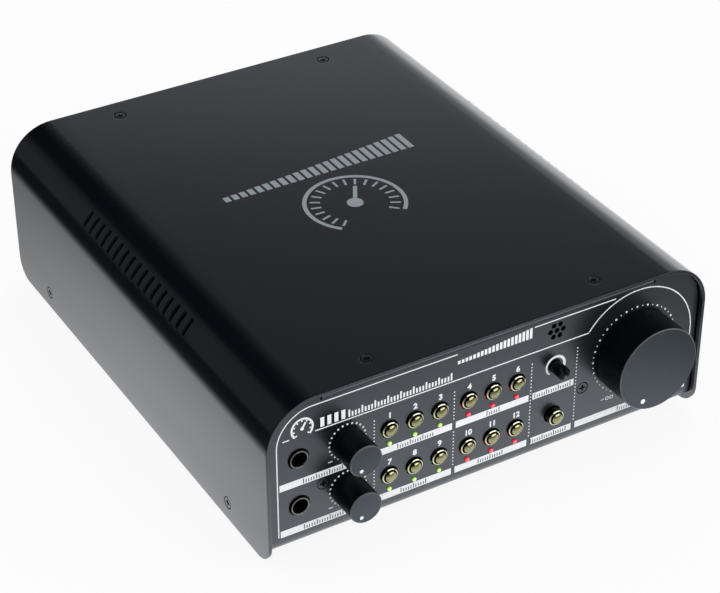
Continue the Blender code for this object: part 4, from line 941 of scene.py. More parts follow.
def makeKnob(node, look):
    # a turned shell: a flat face with a slight crown, a small rim and a pocket behind for the nut
    place, radius, height = frontSpan(node)
    rim, crown = look["rim"], look["crown"]
    bend = radius - knobShape["bevelShare"] * rim       # the flat face ends here, and the rim's bevel starts
    lip = [(bend, crown), (radius - rim, crown), (radius, crown + rim), (radius, height - rim),
           (radius - rim / 2, height), (look["pocket"], height)]
    lip = softened(lip, rim * knobShape["softShare"], knobShape["softSteps"])
    face = np.linspace(0, bend, knobShape["faceSteps"] + 1)[:-1]
    crownLine = np.stack([face, crown * (face / bend) ** 2], axis=-1)
    pocket = [(look["pocket"], height - look["pocketDepth"]), (0, height - look["pocketDepth"])]
    corner = knobShape["softSteps"] + 1       # points of one rounded corner
    bevel = corner // 2               # in the first corner, where the face ends and the bevel begins
    split = bevel + corner + 1        # in the second corner, where the rim ends and the side begins
    front = turnedPart(np.concatenate([crownLine, lip[:bevel + 1]]), look["steps"])
    # the rim's bevel takes the lighter finish, a painted highlight
    edge = turnedPart(lip[bevel:split + 1], look["steps"], finish=2)
    # the side takes the darker, duller copy of the coat, painted shade
    side = turnedPart(np.concatenate([lip[split:], pocket]), look["steps"], finish=1)
    makePiece(f"{node}_shell", carried([front, edge, side], place), ["knobCoat", "knobSideShade", "knobRimHighlight"],
              node, [node], sharp=50)

    angle, reach, size = math.radians(look["dotTurn"]), look["dotReach"], look["dotRadius"]
    spot = (reach * math.sin(angle), 0, reach * math.cos(angle))
    dip, back, (middle, edge) = crown * (reach / radius) ** 2, dotLook["back"], dotLook["rise"]
    profile = [(0, dip - middle), (size, dip - edge), (size, dip + back), (0, dip + back)]
    dot = turnedPart(softened(profile, dotLook["soft"]), dotLook["steps"], spot)
    makePiece(f"{node}_dot", carried([dot], place), ["whiteInk"], node)


def makeTalkbackShaft():
    # a slim shaft with a bevelled end and a slot across it
    look = {"edge": 0.00045, "soft": 0.0002, "slotWidth": 0.0020, "slotDepth": 0.0017, "slotTurn": 112,
            "steps": 48}
    place, radius, length = frontSpan("talkback_level_shaft")
    profile = [(0, 0), (radius - look["edge"], 0), (radius, look["edge"]), (radius, length), (0, length)]
    body = solid("shaft", turnedPart(softened(profile, look["soft"]), look["steps"]))
    slot = plateStack(3 * radius, look["slotWidth"], leastRadius, [(-cutMargin, 0), (look["slotDepth"], 0)])
    turn = Matrix.Rotation(-math.radians(look["slotTurn"]), 3, "Y")
    slot["points"] = slot["points"] @ np.array(turn).T
    parts = carried([meshPart(cutAway("shaft", body, [slot]))], place)
    # the shaft takes the knobs' darker side finish, painted shade
    makePiece("talkback_level_fine", parts, ["knobSideShade"], "talkback_level",
              ["talkback_level_shaft"], sharp=40)


def makeKnobs():
    makeKnob("volume_knob", volumeLook)
    makeKnob("headphone_1_knob", levelLook)
    makeKnob("headphone_2_knob", levelLook)
    makeTalkbackShaft()


makeKnobs()
print("knobs made")

# Push buttons and the lamps under them

buttonLook = {
    "radius": 0.0037,
    "length": 0.0062,
    "dome": (0.00245, 0.0046),      # reach and ball radius of the domed middle
    "groove": (0.00312, 0.00085),   # the groove round it, painted black as shade: where it ends, and how deep
    "bevel": (0.00050, 0.00018),    # the sloped rim: how far from the dome's foot it starts, and its rounding
    "slope": 0.0003,
    "skirt": 0.0010,
    "stem": 0.0015,
    "steps": 72,
}


def makeButtons():
    look = buttonLook
    radius, stem, steps = look["radius"], look["stem"], look["steps"]
    (reach, ball), (start, deep), (fall, rounding) = look["dome"], look["groove"], look["bevel"]
    swell = np.linspace(0, reach, 12)
    crown = np.stack([swell, ball - np.sqrt(ball**2 - swell**2)], axis=-1)
    foot = crown[-1][1]
    edge = softened([(start, foot + deep), (start, foot + fall), (radius, foot + fall + look["slope"]),
                     (radius, foot + fall + look["skirt"])], rounding, 6)
    split = 2 * len(edge) // 3        # where the rim's painted highlight ends and the side's painted shade begins
    dome = turnedPart(crown, steps)
    groove = turnedPart([(reach, foot), (reach, foot + deep), (start, foot + deep)], steps, finish=2)
    rim = turnedPart(edge[:split + 1], steps, finish=1)
    # one gold in copies: the plain gold on the dome, a lighter one on the rim as a painted highlight, a
    # near-black one on the side as painted shade, and dead black in the groove as painted shade
    gold = ["paleGold", "highlightGold", "shadeBlack", "shadedGold"]
    for name in [*latching, "talkback"]:
        node = f"button_{name}"
        place, _, back = frontSpan(node)
        rest = [*edge[split:], (radius, look["length"]), (stem, look["length"]), (stem, back), (0, back)]
        parts = carried([dome, groove, rim, turnedPart(rest, steps, finish=3)], place)
        makePiece(f"{node}_cap", parts, gold, node, [node], sharp=50)


lampLook = {
    "radius": 0.00114,
    "proud": 0.00115,
    "back": 0.0019,
    "body": 0.00150,          # the lamp's wider body behind the panel glows through the button's gap
    "bodyEnd": 0.0062,
    "steps": 32,
}


def makeLamps():
    # domed lenses that stand through the panel: a rod with a quarter-ellipse nose
    look = lampLook
    radius, back, body, end = look["radius"], look["back"], look["body"], look["bodyEnd"]
    nose = np.radians(np.linspace(0, 90, 9))
    dome = np.stack([radius * np.sin(nose), -look["proud"] * np.cos(nose)], axis=-1)
    rest = [(radius, back), (body, back), (body, end), (0, end)]
    lens = turnedPart(np.concatenate([dome, rest]), look["steps"])
    for name, x, z, colour in lampPlaces():
        makePiece(f"lamp_{name}", carried([lens], (x, panelY, z)), [f"{colour}Lamp"], sharp=60)


makeButtons()
makeLamps()
print("buttons and lamps made")

# Headphone sockets, feet and the pieces of the rear wall

jackLook = {
    "nose": 0.0043,
    "bore": 0.0035,
    "depth": 0.022,
    "proud": 0.0010,
    "lip": 0.00038,
    "steps": 64,
    "tube": (0.0006, 0.0005),       # how much wider and deeper than the bore the tube is,
    "hole": (0.0005, 0.0006),       # and the hole for it in the block
    "body": (0.014, 0.016, 0.026),
    "bodyCorner": 0.0008,
    "bodyLip": 0.0003,
}


def makeHeadphoneJacks():
    # a black tube in a block behind the panel; the outside of its mouth and its bore are painted dead black
    # as shade, and its lip is its own dark grey made lighter and glossier, partly a painted highlight
    look = jackLook
    start = chassisLook["sheet"] + chassisLook["gap"]
    width, height, depth = look["body"]
    bore, deep, nose, steps = look["bore"], look["depth"], look["nose"], look["steps"]
    (wider, deeper), (holeWider, holeDeeper) = look["tube"], look["hole"]
    near, end, wall = start + seam, deep + deeper, bore + wider
    ring = [(nose, near), (nose, -look["proud"]), (bore, -look["proud"]), (bore, deep)]
    ring = softened(ring, look["lip"], 6)
    half = len(ring) // 2 - 3         # where the outside, painted black as shade, ends and the lip begins
    block = lippedPlate(width, height, look["bodyCorner"], start, start + depth, look["bodyLip"])
    hole = rodPart(bore + holeWider, -cutMargin, deep + holeDeeper, 48)
    parts = [
        turnedPart([(wall, near), *ring[:half + 1]], steps, finish=1),
        turnedPart(ring[half:-1], steps, finish=2),
        turnedPart([ring[-2], (bore, deep), (0, deep)], steps, finish=1),
        turnedPart([(0, end), (wall, end), (wall, near)], steps),
        meshPart(cutAway("jack_body", solid("jack_body", block), [hole])),
    ]
    for number in (1, 2):
        node = f"headphone_{number}_jack"
        x, _, z = nodeMiddle(node)
        placed = carried(parts, (x, panelY, z))
        finePiece(node, placed, ["blackMoulding", "shadeBlack", "socketLipSheen"])


footLook = {
    "edge": 0.0012,
    "steps": 72,
    "dish": 0.0050,
    "dishDepth": 0.0012,
    "dishSlope": 0.0008,
    "taper": 0.001,
    "seatGap": 0.0003,
    "barb": ((0.0025, 0.0018), (0.0038, 0.0021)),       # radius, and height over the seat
}


def makeFeet():
    # tapered rubber feet with a rounded lower edge, a dished middle and a barb that holds them
    look = footLook
    (neck, low), (wide, high) = look["barb"]
    seat, dish, dip = panelLow[2] - look["seatGap"], look["dish"], look["dishDepth"]
    for node in (f"foot_{end}_{side}" for end in ends for side in sides):
        lowest, highest = nodeSpan(node)
        middle, radius = (lowest + highest) / 2, (highest[0] - lowest[0]) / 2
        outer = [(dish, 0), (radius - look["taper"], 0), (radius, seat), (neck, seat)]
        barb = [(neck, seat + low), (wide, seat + high), (neck, highest[2]), (0, highest[2])]
        middleLine = [(0, dip), (dish - look["dishSlope"], dip)]
        profile = np.concatenate([middleLine, softened(outer, look["edge"], 6), barb])
        parts = carried([turnedPart(profile, look["steps"])], (middle[0], middle[1], 0), "under")
        finePiece(node, parts, ["footRubber"], 50)


connectorLook = {
    "flange": 0.0020,
    "corner": 0.003,
    "lip": 0.0003,
    "cavity": 0.0093,
    "cavityDepth": 0.0105,
    "shell": 0.0105,
    "shellEnd": 0.020,
    "shellWall": 0.001,
    "soft": 0.0002,
    "insert": 0.0079,
    "insertLip": 0.0004,
    "root": 0.0005,           # how far the insert and the pins reach into the floor
    "pin": 0.0012,
    "pinStart": 0.0014,
    "pinLip": 0.0005,
    "pinHole": 0.0014,
    "pinHoleEnd": 0.001,      # over the floor
    "pinPlaces": ((-0.0039, 0.0012), (0.0039, 0.0012), (0.0, -0.0045)),
    "latch": (0.0075, 0.0032, 0.0008),          # width, height and corner
    "latchLip": 0.0006,
    "latchSeat": 0.0003,
    "screwPlaces": ((-0.0090, 0.0120), (0.0090, -0.0120)),
    "screwHole": (0.0016, 0.0009),              # radius and depth
    "screwShare": 0.9,                          # of the hole's radius
    "screwSpan": (0.0003, 0.0014),
    "steps": 72,
}


def connectorParts(width, height, kind, latchReach):
    # a flange with a round cavity, three pins or three holes, and two small fixing screws
    look = connectorLook
    seat = -chassisLook["gap"]
    face = seat - look["flange"]
    floor = face + look["cavityDepth"]
    cavity, outer, steps, root = look["cavity"], look["shell"], look["steps"], floor + look["root"]
    (hole, deep), (near, far) = look["screwHole"], look["screwSpan"]

    def rods(places, radius, start, end, lip=0.0, finish=0):
        return [rodPart(radius, start, end, 24, (x, 0, z), lip, finish) for x, z in places]

    flange = lippedPlate(width, height, look["corner"], face, seat, look["lip"])
    cutters = [rodPart(cavity, face - cutMargin, seat + cutMargin, steps)]
    cutters += rods(look["screwPlaces"], hole, face - cutMargin, face + deep)
    plate = meshPart(cutAway("flange", solid("flange", flange), cutters))
    inner, end, under = outer - look["shellWall"], look["shellEnd"], floor + look["shellWall"]
    shell = [(cavity, face + seam), (cavity, floor), (0, floor), (0, under), (inner, under), (inner, end),
             (outer, end), (outer, seat + seam)]
    parts = [plate, turnedPart(softened(shell, look["soft"], 3), steps, loop=True)]
    parts += rods(look["screwPlaces"], hole * look["screwShare"], face + near, face + far, look["soft"], 1)
    if kind == "male":
        return parts + rods(look["pinPlaces"], look["pin"], face + look["pinStart"], root, look["pinLip"], 1)
    core = solid("core", rodPart(look["insert"], face + seam, root, steps, lip=look["insertLip"]))
    holes = rods(look["pinPlaces"], look["pinHole"], face - cutMargin, floor - look["pinHoleEnd"])
    rise = (cavity + height / 2) / 2
    latch = lippedPlate(*look["latch"], -latchReach, face + look["latchSeat"], look["latchLip"], 2, (0, rise))
    return parts + [meshPart(cutAway("core", core, holes)), latch]


def makeConnectors():
    latchReach = rearSpan("input_1_left_connector")[-1]
    coats = {"male": ["satinNickel"] * 3, "female": ["blackMoulding", "zincSteel", "satinNickel"]}
    made = {}
    for name in connectorNames():
        kind = "male" if name.startswith("output") else "female"
        place, width, height, _, _ = rearSpan(name)
        if kind not in made:
            made[kind] = connectorParts(width, height, kind, latchReach)
        parts = carried(made[kind], place, "rear")
        finePiece(name, parts, coats[kind])


rearJackLook = {
    "threads": 5,
    "threadDepth": 0.00015,
    "threadStart": 0.0003,
    "chamfer": 0.0002,
    "back": 0.002,            # the bore ends this far before the body does
    "nutChamfer": (0.0003, 0.94),
    "nutGap": 0.00005,
    "aux_jack": (0.0019, 0.0029, 0.0044),       # the bore's radius, the nose's and the nut's to its corners
    "footswitch_jack": (0.0035, 0.0047, 0.0073),
}


def makeRearJack(node):
    # a threaded nose with a six-sided nut, and the socket's body behind the wall
    look, (bore, nose, hexagon) = rearJackLook, rearJackLook[node]
    place, width, _, depth, proud = rearSpan(node)
    body, end, inside = width / 2, depth - look["back"], chassisLook["sheet"] + chassisLook["gap"]
    ridge = np.linspace(-proud + look["threadStart"], -proud / 2, 2 * look["threads"] + 1)
    radii = nose - look["threadDepth"] * (np.arange(len(ridge)) % 2)
    cut, (fall, share) = look["chamfer"], look["nutChamfer"]
    profile = [(bore, end), (bore, -proud + cut), (bore + cut, -proud), (nose - cut, -proud)]
    profile += [*zip(radii, ridge), (nose, inside), (body, inside), (body, depth), (0, depth), (0, end)]
    wheel = arcPoints((0, 0), 1, 30, 330, 5)
    stations = ((-proud / 2 - fall, hexagon * share), (-proud / 2, hexagon), (-chassisLook["gap"], hexagon))
    ring = stackedPart(np.array([standing(wheel * reach, along) for along, reach in stations]), 1)
    nut = cutAway("nut", solid("nut", ring), [rodPart(nose + look["nutGap"], -proud, cutMargin, 40)])
    parts = carried([turnedPart(profile, 48, loop=True), meshPart(nut, 1)], place, "rear")
    finePiece(node, parts, ["blackMoulding", "satinNickel"], 35)


inletLook = {
    "flange": 0.0025,
    "corner": 0.002,
    "rim": 0.002,
    "lip": 0.0004,
    "socketOffset": 0.0115,
    "socket": (0.0245, 0.0170),
    "chamfer": 0.005,
    "socketDepth": 0.0145,
    "blade": (0.0020, 0.0040, 0.0003),      # width, height and corner
    "bladeSpan": (0.002, 0.0005),           # from behind the face into the floor
    "bladeLip": 0.0003,
    "bladeSpacing": 0.007,
    "bladeLift": 0.002,
    "bodyCorner": 0.001,
    "rockerOffset": 0.0155,
    "pocket": (0.0130, 0.0190, 0.0006),
    "pocketDepth": 0.0095,
}


def socketOutline():
    x, z = np.array(inletLook["socket"]) / 2
    cut = inletLook["chamfer"]
    return np.array([(-x, -z), (x, -z), (x, z - cut), (x - cut, z), (cut - x, z), (-x, z - cut)])


def makeInlet():
    # a flanged housing with a six-sided socket, three blades and a pocket for the rocker
    look = inletLook
    place, width, height, depth, _ = rearSpan("mains_inlet")
    seat = -chassisLook["gap"]
    face = seat - look["flange"]
    start, floor = face - cutMargin, face + look["socketDepth"]
    flange = lippedPlate(width, height, look["corner"], face, seat, look["lip"])
    rim, (near, root), lip = 2 * look["rim"], look["bladeSpan"], look["bladeLip"]
    body = plateStack(width - rim, height - rim, look["bodyCorner"], [(seat - seam, 0), (depth, 0)])
    pocket = plateStack(*look["pocket"], [(start, 0), (face + look["pocketDepth"], 0)],
                        middle=(look["rockerOffset"], 0))
    outline = socketOutline() - (look["socketOffset"], 0)
    well = stackedPart(np.array([standing(outline, along) for along in (start, floor)]))
    parts = [meshPart(cutAway("inlet", solid("inlet", part), [pocket, well])) for part in (flange, body)]
    for step, lift in ((-1, -1), (0, 1), (1, -1)):
        spot = (-look["socketOffset"] + step * look["bladeSpacing"], lift * look["bladeLift"])
        parts.append(lippedPlate(*look["blade"], face + near, floor + root, lip, 1, spot))
    placed = carried(parts, place, "rear")
    finePiece("mains_inlet", placed, ["blackMoulding", "satinNickel"])


def makeRearPieces():
    makeConnectors()
    makeRearJack("aux_jack")
    makeRearJack("footswitch_jack")
    makeInlet()


makeHeadphoneJacks()
makeFeet()
makeRearPieces()
print("sockets, feet and rear pieces made")

# White print on the front panel, drawn as (x, rise above the case's lower edge), in metres

frontPrint = {
    "proud": 0.00004,
    "darkShare": 1.5,               # dark ink lies on top of the white, this many times as high
    "line": 0.00050,
    "frameLeft": -0.1018,
    "frameFoot": 0.0115,
    "frameCorner": 0.0165,
    "frameTop": 0.0719,
    "frameBreak": (-0.0180, 0.0196),        # the frame's top line leaves room here for the rising bars
    "frameEnd": 0.0607,
    "divider": (0.0591, -0.0843, 0.0480),   # the line under the top row: its rise and its ends
    "bigArc": ((0.0725, 0.0424), 0.0300),   # round the large knob: middle and radius
    "dash": ((-0.0990, -0.0960), 0.0590),
    "bars": {"upper": (0.0346, 0.0379), "lower": (0.0110, 0.0143)},
    "barSpans": ((-0.1009, -0.0585), (-0.0558, -0.0198), (-0.0180, 0.0182), (0.0202, 0.0412)),
    "lastSpan": (0.0432, 0.1023),
    "dottedLines": (-0.0572, -0.0190, 0.0192, 0.0423),
    "dottedSpan": (0.0160, 0.0548),
    "dottedPitch": 0.0017,
    "dottedRadius": 0.00033,
    "dottedGap": 0.0008,            # the first two dotted lines stop this far from the bars
    "levelRing": (0.0084, 0.00047, 1.35),   # radius, the dots' radius, and how much larger the end ones are
    "levelTurns": (-150, 151, 15),          # of the dots, in degrees from the top: first, end and step
    "volumeTurns": (-150, 151, 7.5),
    "minus": (-0.0080, -0.0075, 0.001),     # the short dash at a level ring's low end, from the knob's middle
    "plus": (-0.0001, 1.06, 0.0011),        # the cross at its high end: shift, fall as a share of it, reach
    "volumeRing": (0.0215, 0.00050, 0.00032),
    "talkbackRing": (0.00455, 0.00150, 0.00075),    # radius, and the widths at the two ends
    "talkbackSweep": (-50, 230, 48),        # its two ends in degrees, and its steps
    "numeralSize": 0.0037,
    "numeralWeight": 0.045,         # thickening, as a share of the size
    "numeralRise": 0.0066,
    "shift": 0.00027,               # the whole print lies this far to the right
    "tick": (0.0012, 0.00045, 0.0024, 0.0016),      # on the bars: pitch, width and the two heights
    "tickFoot": 0.00045,
    "tickSpans": {
        "upper": ((-0.0900, -0.0710), (-0.0460, -0.0290), (-0.0026, 0.0035), (0.0214, 0.0406)),
        "lower": ((-0.0900, -0.0710), (-0.0442, -0.0315), (-0.0062, 0.0064), (0.0203, 0.0393),
                  (0.0659, 0.0880)),
    },
    # a dash and a lying figure of eight at the scale's low end: left, right and rise, and the line's width
    "endless": (0.0566, 0.0629, 0.0205, 0.00042),
    "wedge": {"span": (-0.0178, 0.0191), "foot": 0.0669, "tall": 0.0052, "count": 20, "share": 0.68},
    "scale": {"start": -0.0819, "foot": 0.0600, "thick": 4, "pitch": (0.0032, 0.0015),
              "width": (0.0018, 0.00080), "tall": (0.0045, 0.0036, 0.0024), "count": 33},
    "gauge": {"middle": (-0.0901, 0.0624), "radius": 0.0052, "line": 0.0009, "ticks": 9, "tickLine": 0.0006},
}


def strokePart(line, width, finish=0):
    # a flat ribbon along a line of (x, z) points, closed all round: p +- n w / 2, front and back
    line = np.asarray(line, dtype=float)
    ahead = np.gradient(line, axis=0)
    ahead /= np.linalg.norm(ahead, axis=1, keepdims=True)
    normal = np.stack([-ahead[:, 1], ahead[:, 0]], axis=-1)
    proud = frontPrint["proud"]
    front = proud * (frontPrint["darkShare"] if finish else 1)
    corners = [(1, -front), (1, proud), (-1, proud), (-1, -front)]
    rings = [standing(line + normal * side * width / 2, depth) for side, depth in corners]
    return stackedPart(np.stack(rings, axis=1), finish)


def boxPart(xs, zs, finish=0):
    middle = sum(zs) / 2
    return strokePart([(xs[0], middle), (xs[1], middle)], zs[1] - zs[0], finish)


def dotPart(x, z, radius, steps=14):
    return rodPart(radius, -frontPrint["proud"], frontPrint["proud"], steps, (x, 0, z))


def numeralPart(text, x, z, size):
    # a plain numeral from the built-in face, thickened a little and stood up against the panel
    curve = bpy.data.curves.new("numeral", "FONT")
    curve.body = text
    curve.size = size
    curve.offset = size * frontPrint["numeralWeight"]
    curve.align_x = "CENTER"
    curve.align_y = "CENTER"
    curve.resolution_u = 4
    curve.extrude = frontPrint["proud"]
    part = meshPart(closeUp(withModifiers("numeral", curve, lambda helper: [])))
    px, py, pz = part["points"].T
    part["points"] = np.stack([px + x, -pz, py + z], axis=-1)
    return part


def ringOfDots(x, z, radius, sizes, angles):
    # dots round a knob, clockwise from the top
    spots = [(x + radius * math.sin(a), z + radius * math.cos(a)) for a in np.radians(angles)]
    return [dotPart(*spot, size) for spot, size in zip(spots, sizes)]


def tickRow(low, high, foot):
    # dark ruler ticks along a bar, every fifth one taller
    pitch, width, tall, short = frontPrint["tick"]
    return [boxPart((x - width / 2, x + width / 2), (foot, foot + (short if count % 5 else tall)), 1)
            for count, x in enumerate(np.arange(low, high, pitch))]


wedgeShape = {"least": 0.30, "power": 1.2}      # the first bar's share of the height, and how the rest grow


def wedgeMarks(look):
    # bars that grow from left to right, like a level scale
    (low, high), count, foot = look["span"], look["count"], look["foot"]
    pitch = (high - low) / count
    least, grown = wedgeShape["least"], (np.arange(count) / (count - 1)) ** wedgeShape["power"]
    heights = look["tall"] * (least + (1 - least) * grown)
    return [boxPart((low + k * pitch, low + (k + look["share"]) * pitch), (foot, foot + height))
            for k, height in enumerate(heights)]


gaugeShape = {
    "sweep": (225, -45),
    "ticks": (0.66, 0.86),      # where a tick starts and ends, as shares of the radius
    "hub": 0.16,
    "hubGap": 1.02,             # the pointer starts this many hubs from the middle
    "pointer": (60, 0.60),      # its angle and its end
}


def gaugeMarks(look):
    # a plain dial: an open ring, ticks inside it, a hub and a pointer
    middle, radius, line = np.array(look["middle"]), look["radius"], look["line"]
    sweep, hub, (pointer, tip) = gaugeShape["sweep"], gaugeShape["hub"], gaugeShape["pointer"]
    marks = [strokePart(arcPoints(middle, radius - line / 2, *sweep, 64), line)]
    ways = [(angle, *gaugeShape["ticks"], look["tickLine"]) for angle in np.linspace(*sweep, look["ticks"])]
    ways.append((pointer, hub * gaugeShape["hubGap"], tip, line))
    for angle, start, end, width in ways:
        ahead = np.array([math.cos(math.radians(angle)), math.sin(math.radians(angle))])
        marks.append(strokePart([middle + ahead * radius * start, middle + ahead * radius * end], width))
    marks.append(dotPart(*middle, radius * hub, steps=24))
    return marks


def scaleMarks(look):
    # a few thick bars and then a long row of ruler ticks, every fourth one taller
    x, foot, marks = look["start"], look["foot"], []
    first, tall, short = look["tall"]
    bars = [(0, first)] * look["thick"] + [(1, short if k % 4 else tall) for k in range(look["count"])]
    for kind, height in bars:
        marks.append(boxPart((x, x + look["width"][kind]), (foot, foot + height)))
        x += look["pitch"][kind]
    return marks


# of the whole width: half the lying eight and the dash before it; then half the dash's thickness
endlessShape = {"halfShare": 0.31, "dashShare": 0.28, "dashHalf": 0.0002, "steps": 48}


def endlessMarks(low, high, z, width):
    # x = a cos t / (1 + sin(t)^2), z = a sin t cos t / (1 + sin(t)^2)
    look = endlessShape
    half, dash, thick = (high - low) * look["halfShare"], (high - low) * look["dashShare"], look["dashHalf"]
    t = np.linspace(0, 2 * math.pi, look["steps"] + 1)
    across = half * np.cos(t) / (1 + np.sin(t) ** 2)
    loop = np.stack([high - half + across, z + np.sin(t) * across], axis=-1)
    return [strokePart(loop, width), boxPart((low, low + dash), (z - thick, z + thick))]


def makeFrontPrint():
    look, base, marks = frontPrint, caseLow[2], []

    def stroke(*points):
        marks.append(strokePart(points, look["line"]))

    def middleOf(node):
        x, _, z = nodeMiddle(node)
        return x, z - base

    left, corner, top = look["frameLeft"], look["frameCorner"], look["frameTop"]
    bend = arcPoints((left + corner, top - corner), corner, 180, 90, 24)
    stroke((left, look["frameFoot"]), *bend, (look["frameBreak"][0], top))
    stroke((look["frameBreak"][1], top), (look["frameEnd"], top))
    rise, start, end = look["divider"]
    centre, radius = look["bigArc"]
    lift = math.degrees(math.asin((rise - centre[1]) / radius))
    bow = arcPoints(centre, radius, 180 - lift, 0, 72)
    stroke((start, rise), (end, rise))
    stroke((end, rise), bow[0])
    stroke(*bow, (centre[0] + radius, look["bars"]["lower"][1]))
    stroke(*((x, look["dash"][1]) for x in look["dash"][0]))

    for row, bar in look["bars"].items():
        spans = look["barSpans"] + ((look["lastSpan"],) if row == "lower" else ())
        marks += [boxPart(span, bar) for span in spans]
    gap = look["dottedGap"]
    for count, x in enumerate(look["dottedLines"]):
        for rise in np.arange(*look["dottedSpan"], look["dottedPitch"]):
            blocked = any(low - gap < rise < high + gap for low, high in look["bars"].values())
            if count >= 2 or not blocked:
                marks.append(dotPart(x, rise, look["dottedRadius"], steps=10))

    ring, size, larger = look["levelRing"]
    across, down, reach = look["minus"]
    shift, fall, arm = look["plus"]
    angles = np.arange(*look["levelTurns"])
    sizes = np.full(len(angles), size)
    sizes[[0, -1]] = size * larger
    for number in (1, 2):
        x, z = middleOf(f"headphone_{number}_knob")
        marks += ringOfDots(x, z, ring, sizes, angles)
        minus, plus = (x + across, z + down), (x + ring + shift, z - ring * fall)
        for spot, away in ((minus, (reach, 0)), (plus, (arm, 0)), (plus, (0, arm))):
            stroke(np.subtract(spot, away), np.add(spot, away))
    ring, large, small = look["volumeRing"]
    angles = np.arange(*look["volumeTurns"])
    sizes = np.where(np.arange(len(angles)) % 2 == 0, large, small)
    marks += ringOfDots(*middleOf("volume_knob"), ring, sizes, angles)
    ring, wide, narrow = look["talkbackRing"]
    widths = np.linspace(wide, narrow, look["talkbackSweep"][-1] + 1)[:, None]
    line = arcPoints(middleOf("talkback_level_shaft"), ring, *look["talkbackSweep"])
    marks.append(strokePart(line, widths))

    for row, spans in look["tickSpans"].items():
        for span in spans:
            marks += tickRow(*span, look["bars"][row][0] + look["tickFoot"])
    marks += endlessMarks(*look["endless"]) + wedgeMarks(look["wedge"])
    marks += scaleMarks(look["scale"]) + gaugeMarks(look["gauge"])
    for count, name in enumerate(latching, 1):
        x, z = middleOf(f"button_{name}")
        marks.append(numeralPart(str(count), x, z + look["numeralRise"], look["numeralSize"]))
    parts = carried(marks, (look["shift"], panelY - look["proud"] / 2, base))
    makePiece("front_print", parts, ["whiteInk", "darkInk"], sharp=30)


makeFrontPrint()
print("front print made")

# Grey print on the cover, drawn as (x, y) over its top

topPrint = {
    "wedge": {"span": (-0.0483, 0.0507), "foot": 0.0245, "tall": 0.0135, "count": 24, "share": 0.68},
    "gauge": {"middle": (0.0008, -0.0044), "radius": 0.0235, "line": 0.0019, "ticks": 19, "tickLine": 0.0011},
}


def makeTopPrint():
    marks = wedgeMarks(topPrint["wedge"]) + gaugeMarks(topPrint["gauge"])
    parts = carried(marks, (0, 0, caseHigh[2] - frontPrint["proud"]), "top")
    makePiece("top_print", parts, ["greyInk"], sharp=30)


makeTopPrint()
print("top print made")

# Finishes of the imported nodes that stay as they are

keptFinishes = {
    "zincSteel": ("volume_control", "headphone_1_control", "headphone_2_control", "volume_shaft",
                  "headphone_1_shaft", "headphone_2_shaft", "transformer_bolt"),
    "solderMask": ("front_board", "main_board"),
    "coreTape": ("transformer",),
    # the microphone capsule is painted dead black as shade, so that the holes in front of it look dark
    "shadeBlack": ("microphone_capsule",),
    "blackMoulding": ("power_rocker",),
}
for finishName, nodes in keptFinishes.items():
    for node in nodes:
        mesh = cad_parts[node].data
        if not mesh.materials:
            mesh.materials.append(None)
        for index in range(len(mesh.materials)):
            mesh.materials[index] = finishes[finishName]

# Studio: a pale floor, soft lamps and a bright surround

studio = {
    "white": 1.0,
    "ambient": 1.0,
    "floorSize": 6.0,
    "floorColour": 0.80,
    "floorGlow": 0.90,              # share of the floor's look that is plain white
    # what gloss sees: an axis, where the fade starts and ends on it, and the brightness at both
    "floorFades": {
        "beside": ("X", -0.200, -0.120, 0.04, 1),       # dark on the left, white under and beside the case
        "beyond": ("X", -0.118, -0.108, 0.88, 1),       # and a little darker right beside it
        "behind": ("Y", 0.30, -0.05, 0.45, 1),          # darker behind the case, but not on the right
        "behindRight": ("X", 0, 0.15, 0, 1),
        "before": ("Y", -0.26, -0.13, 0.34, 1),         # darker in front of it
        "right": ("X", 0.09, 0.16, 1, 0.45),            # and in front on the right
        "rightFront": ("Y", -0.14, -0.10, 0, 1),
    },
    "worldFades": {
        "side": ("X", 0.00, 0.45, 0, 1),                # dark on the left,
        "step": ("Z", 0.51, 0.46, 0.08, 0.44),          # a little light overhead, more of it further down
        "band": ("Z", 0.36, 0.05, 0, 0.68),             # and white at the foot,
        "back": ("Y", -0.1, 0.3, 0, 1),                 # all of it at the back
        "front": ("Y", -0.3, 0.1, 0.10, 0),
        "left": ("X", -0.25, -0.50, 0, 0.085),
    },
    "lamps": {
        "keyLamp": {"place": (0.70, -1.31, 0.95), "size": (1.8, 0.6), "watts": 3},
        "lowLamp": {"place": (0.75, -1.35, 0.26), "size": (1.5, 0.42), "watts": 5.0},
    },
}


def fadesOf(tree, coordinate, spans):
    # smooth steps along the axes of a coordinate
    place = wired(tree, "TexCoord", {}, coordinate)
    return {key: mappedRange(tree, wired(tree, "SeparateXYZ", {0: place}, axis), numbers, "SMOOTHSTEP")
            for key, (axis, *numbers) in spans.items()}


def worked(tree, operation, first, *others):
    # a sum, product or greatest of outputs, taken one after another
    for other in others:
        first = wired(tree, "Math", {0: first, 1: other}, operation=operation)
    return first


def glowing(tree, kind, strength):
    # white light of a given strength, from a surface or from the surround
    return wired(tree, kind, {"Color": (1, 1, 1, 1), "Strength": strength})


def mixed(tree, share, first, second):
    return wired(tree, "MixShader", {0: share, 1: first, 2: second})


def rayKinds(tree):
    # what tells the camera's own rays, and what tells those that gloss or glass sends on
    camera, glossy, sent = (wired(tree, "LightPath", {}, f"Is {kind} Ray")
                            for kind in ("Camera", "Glossy", "Transmission"))
    return camera, worked(tree, "MAXIMUM", glossy, sent)


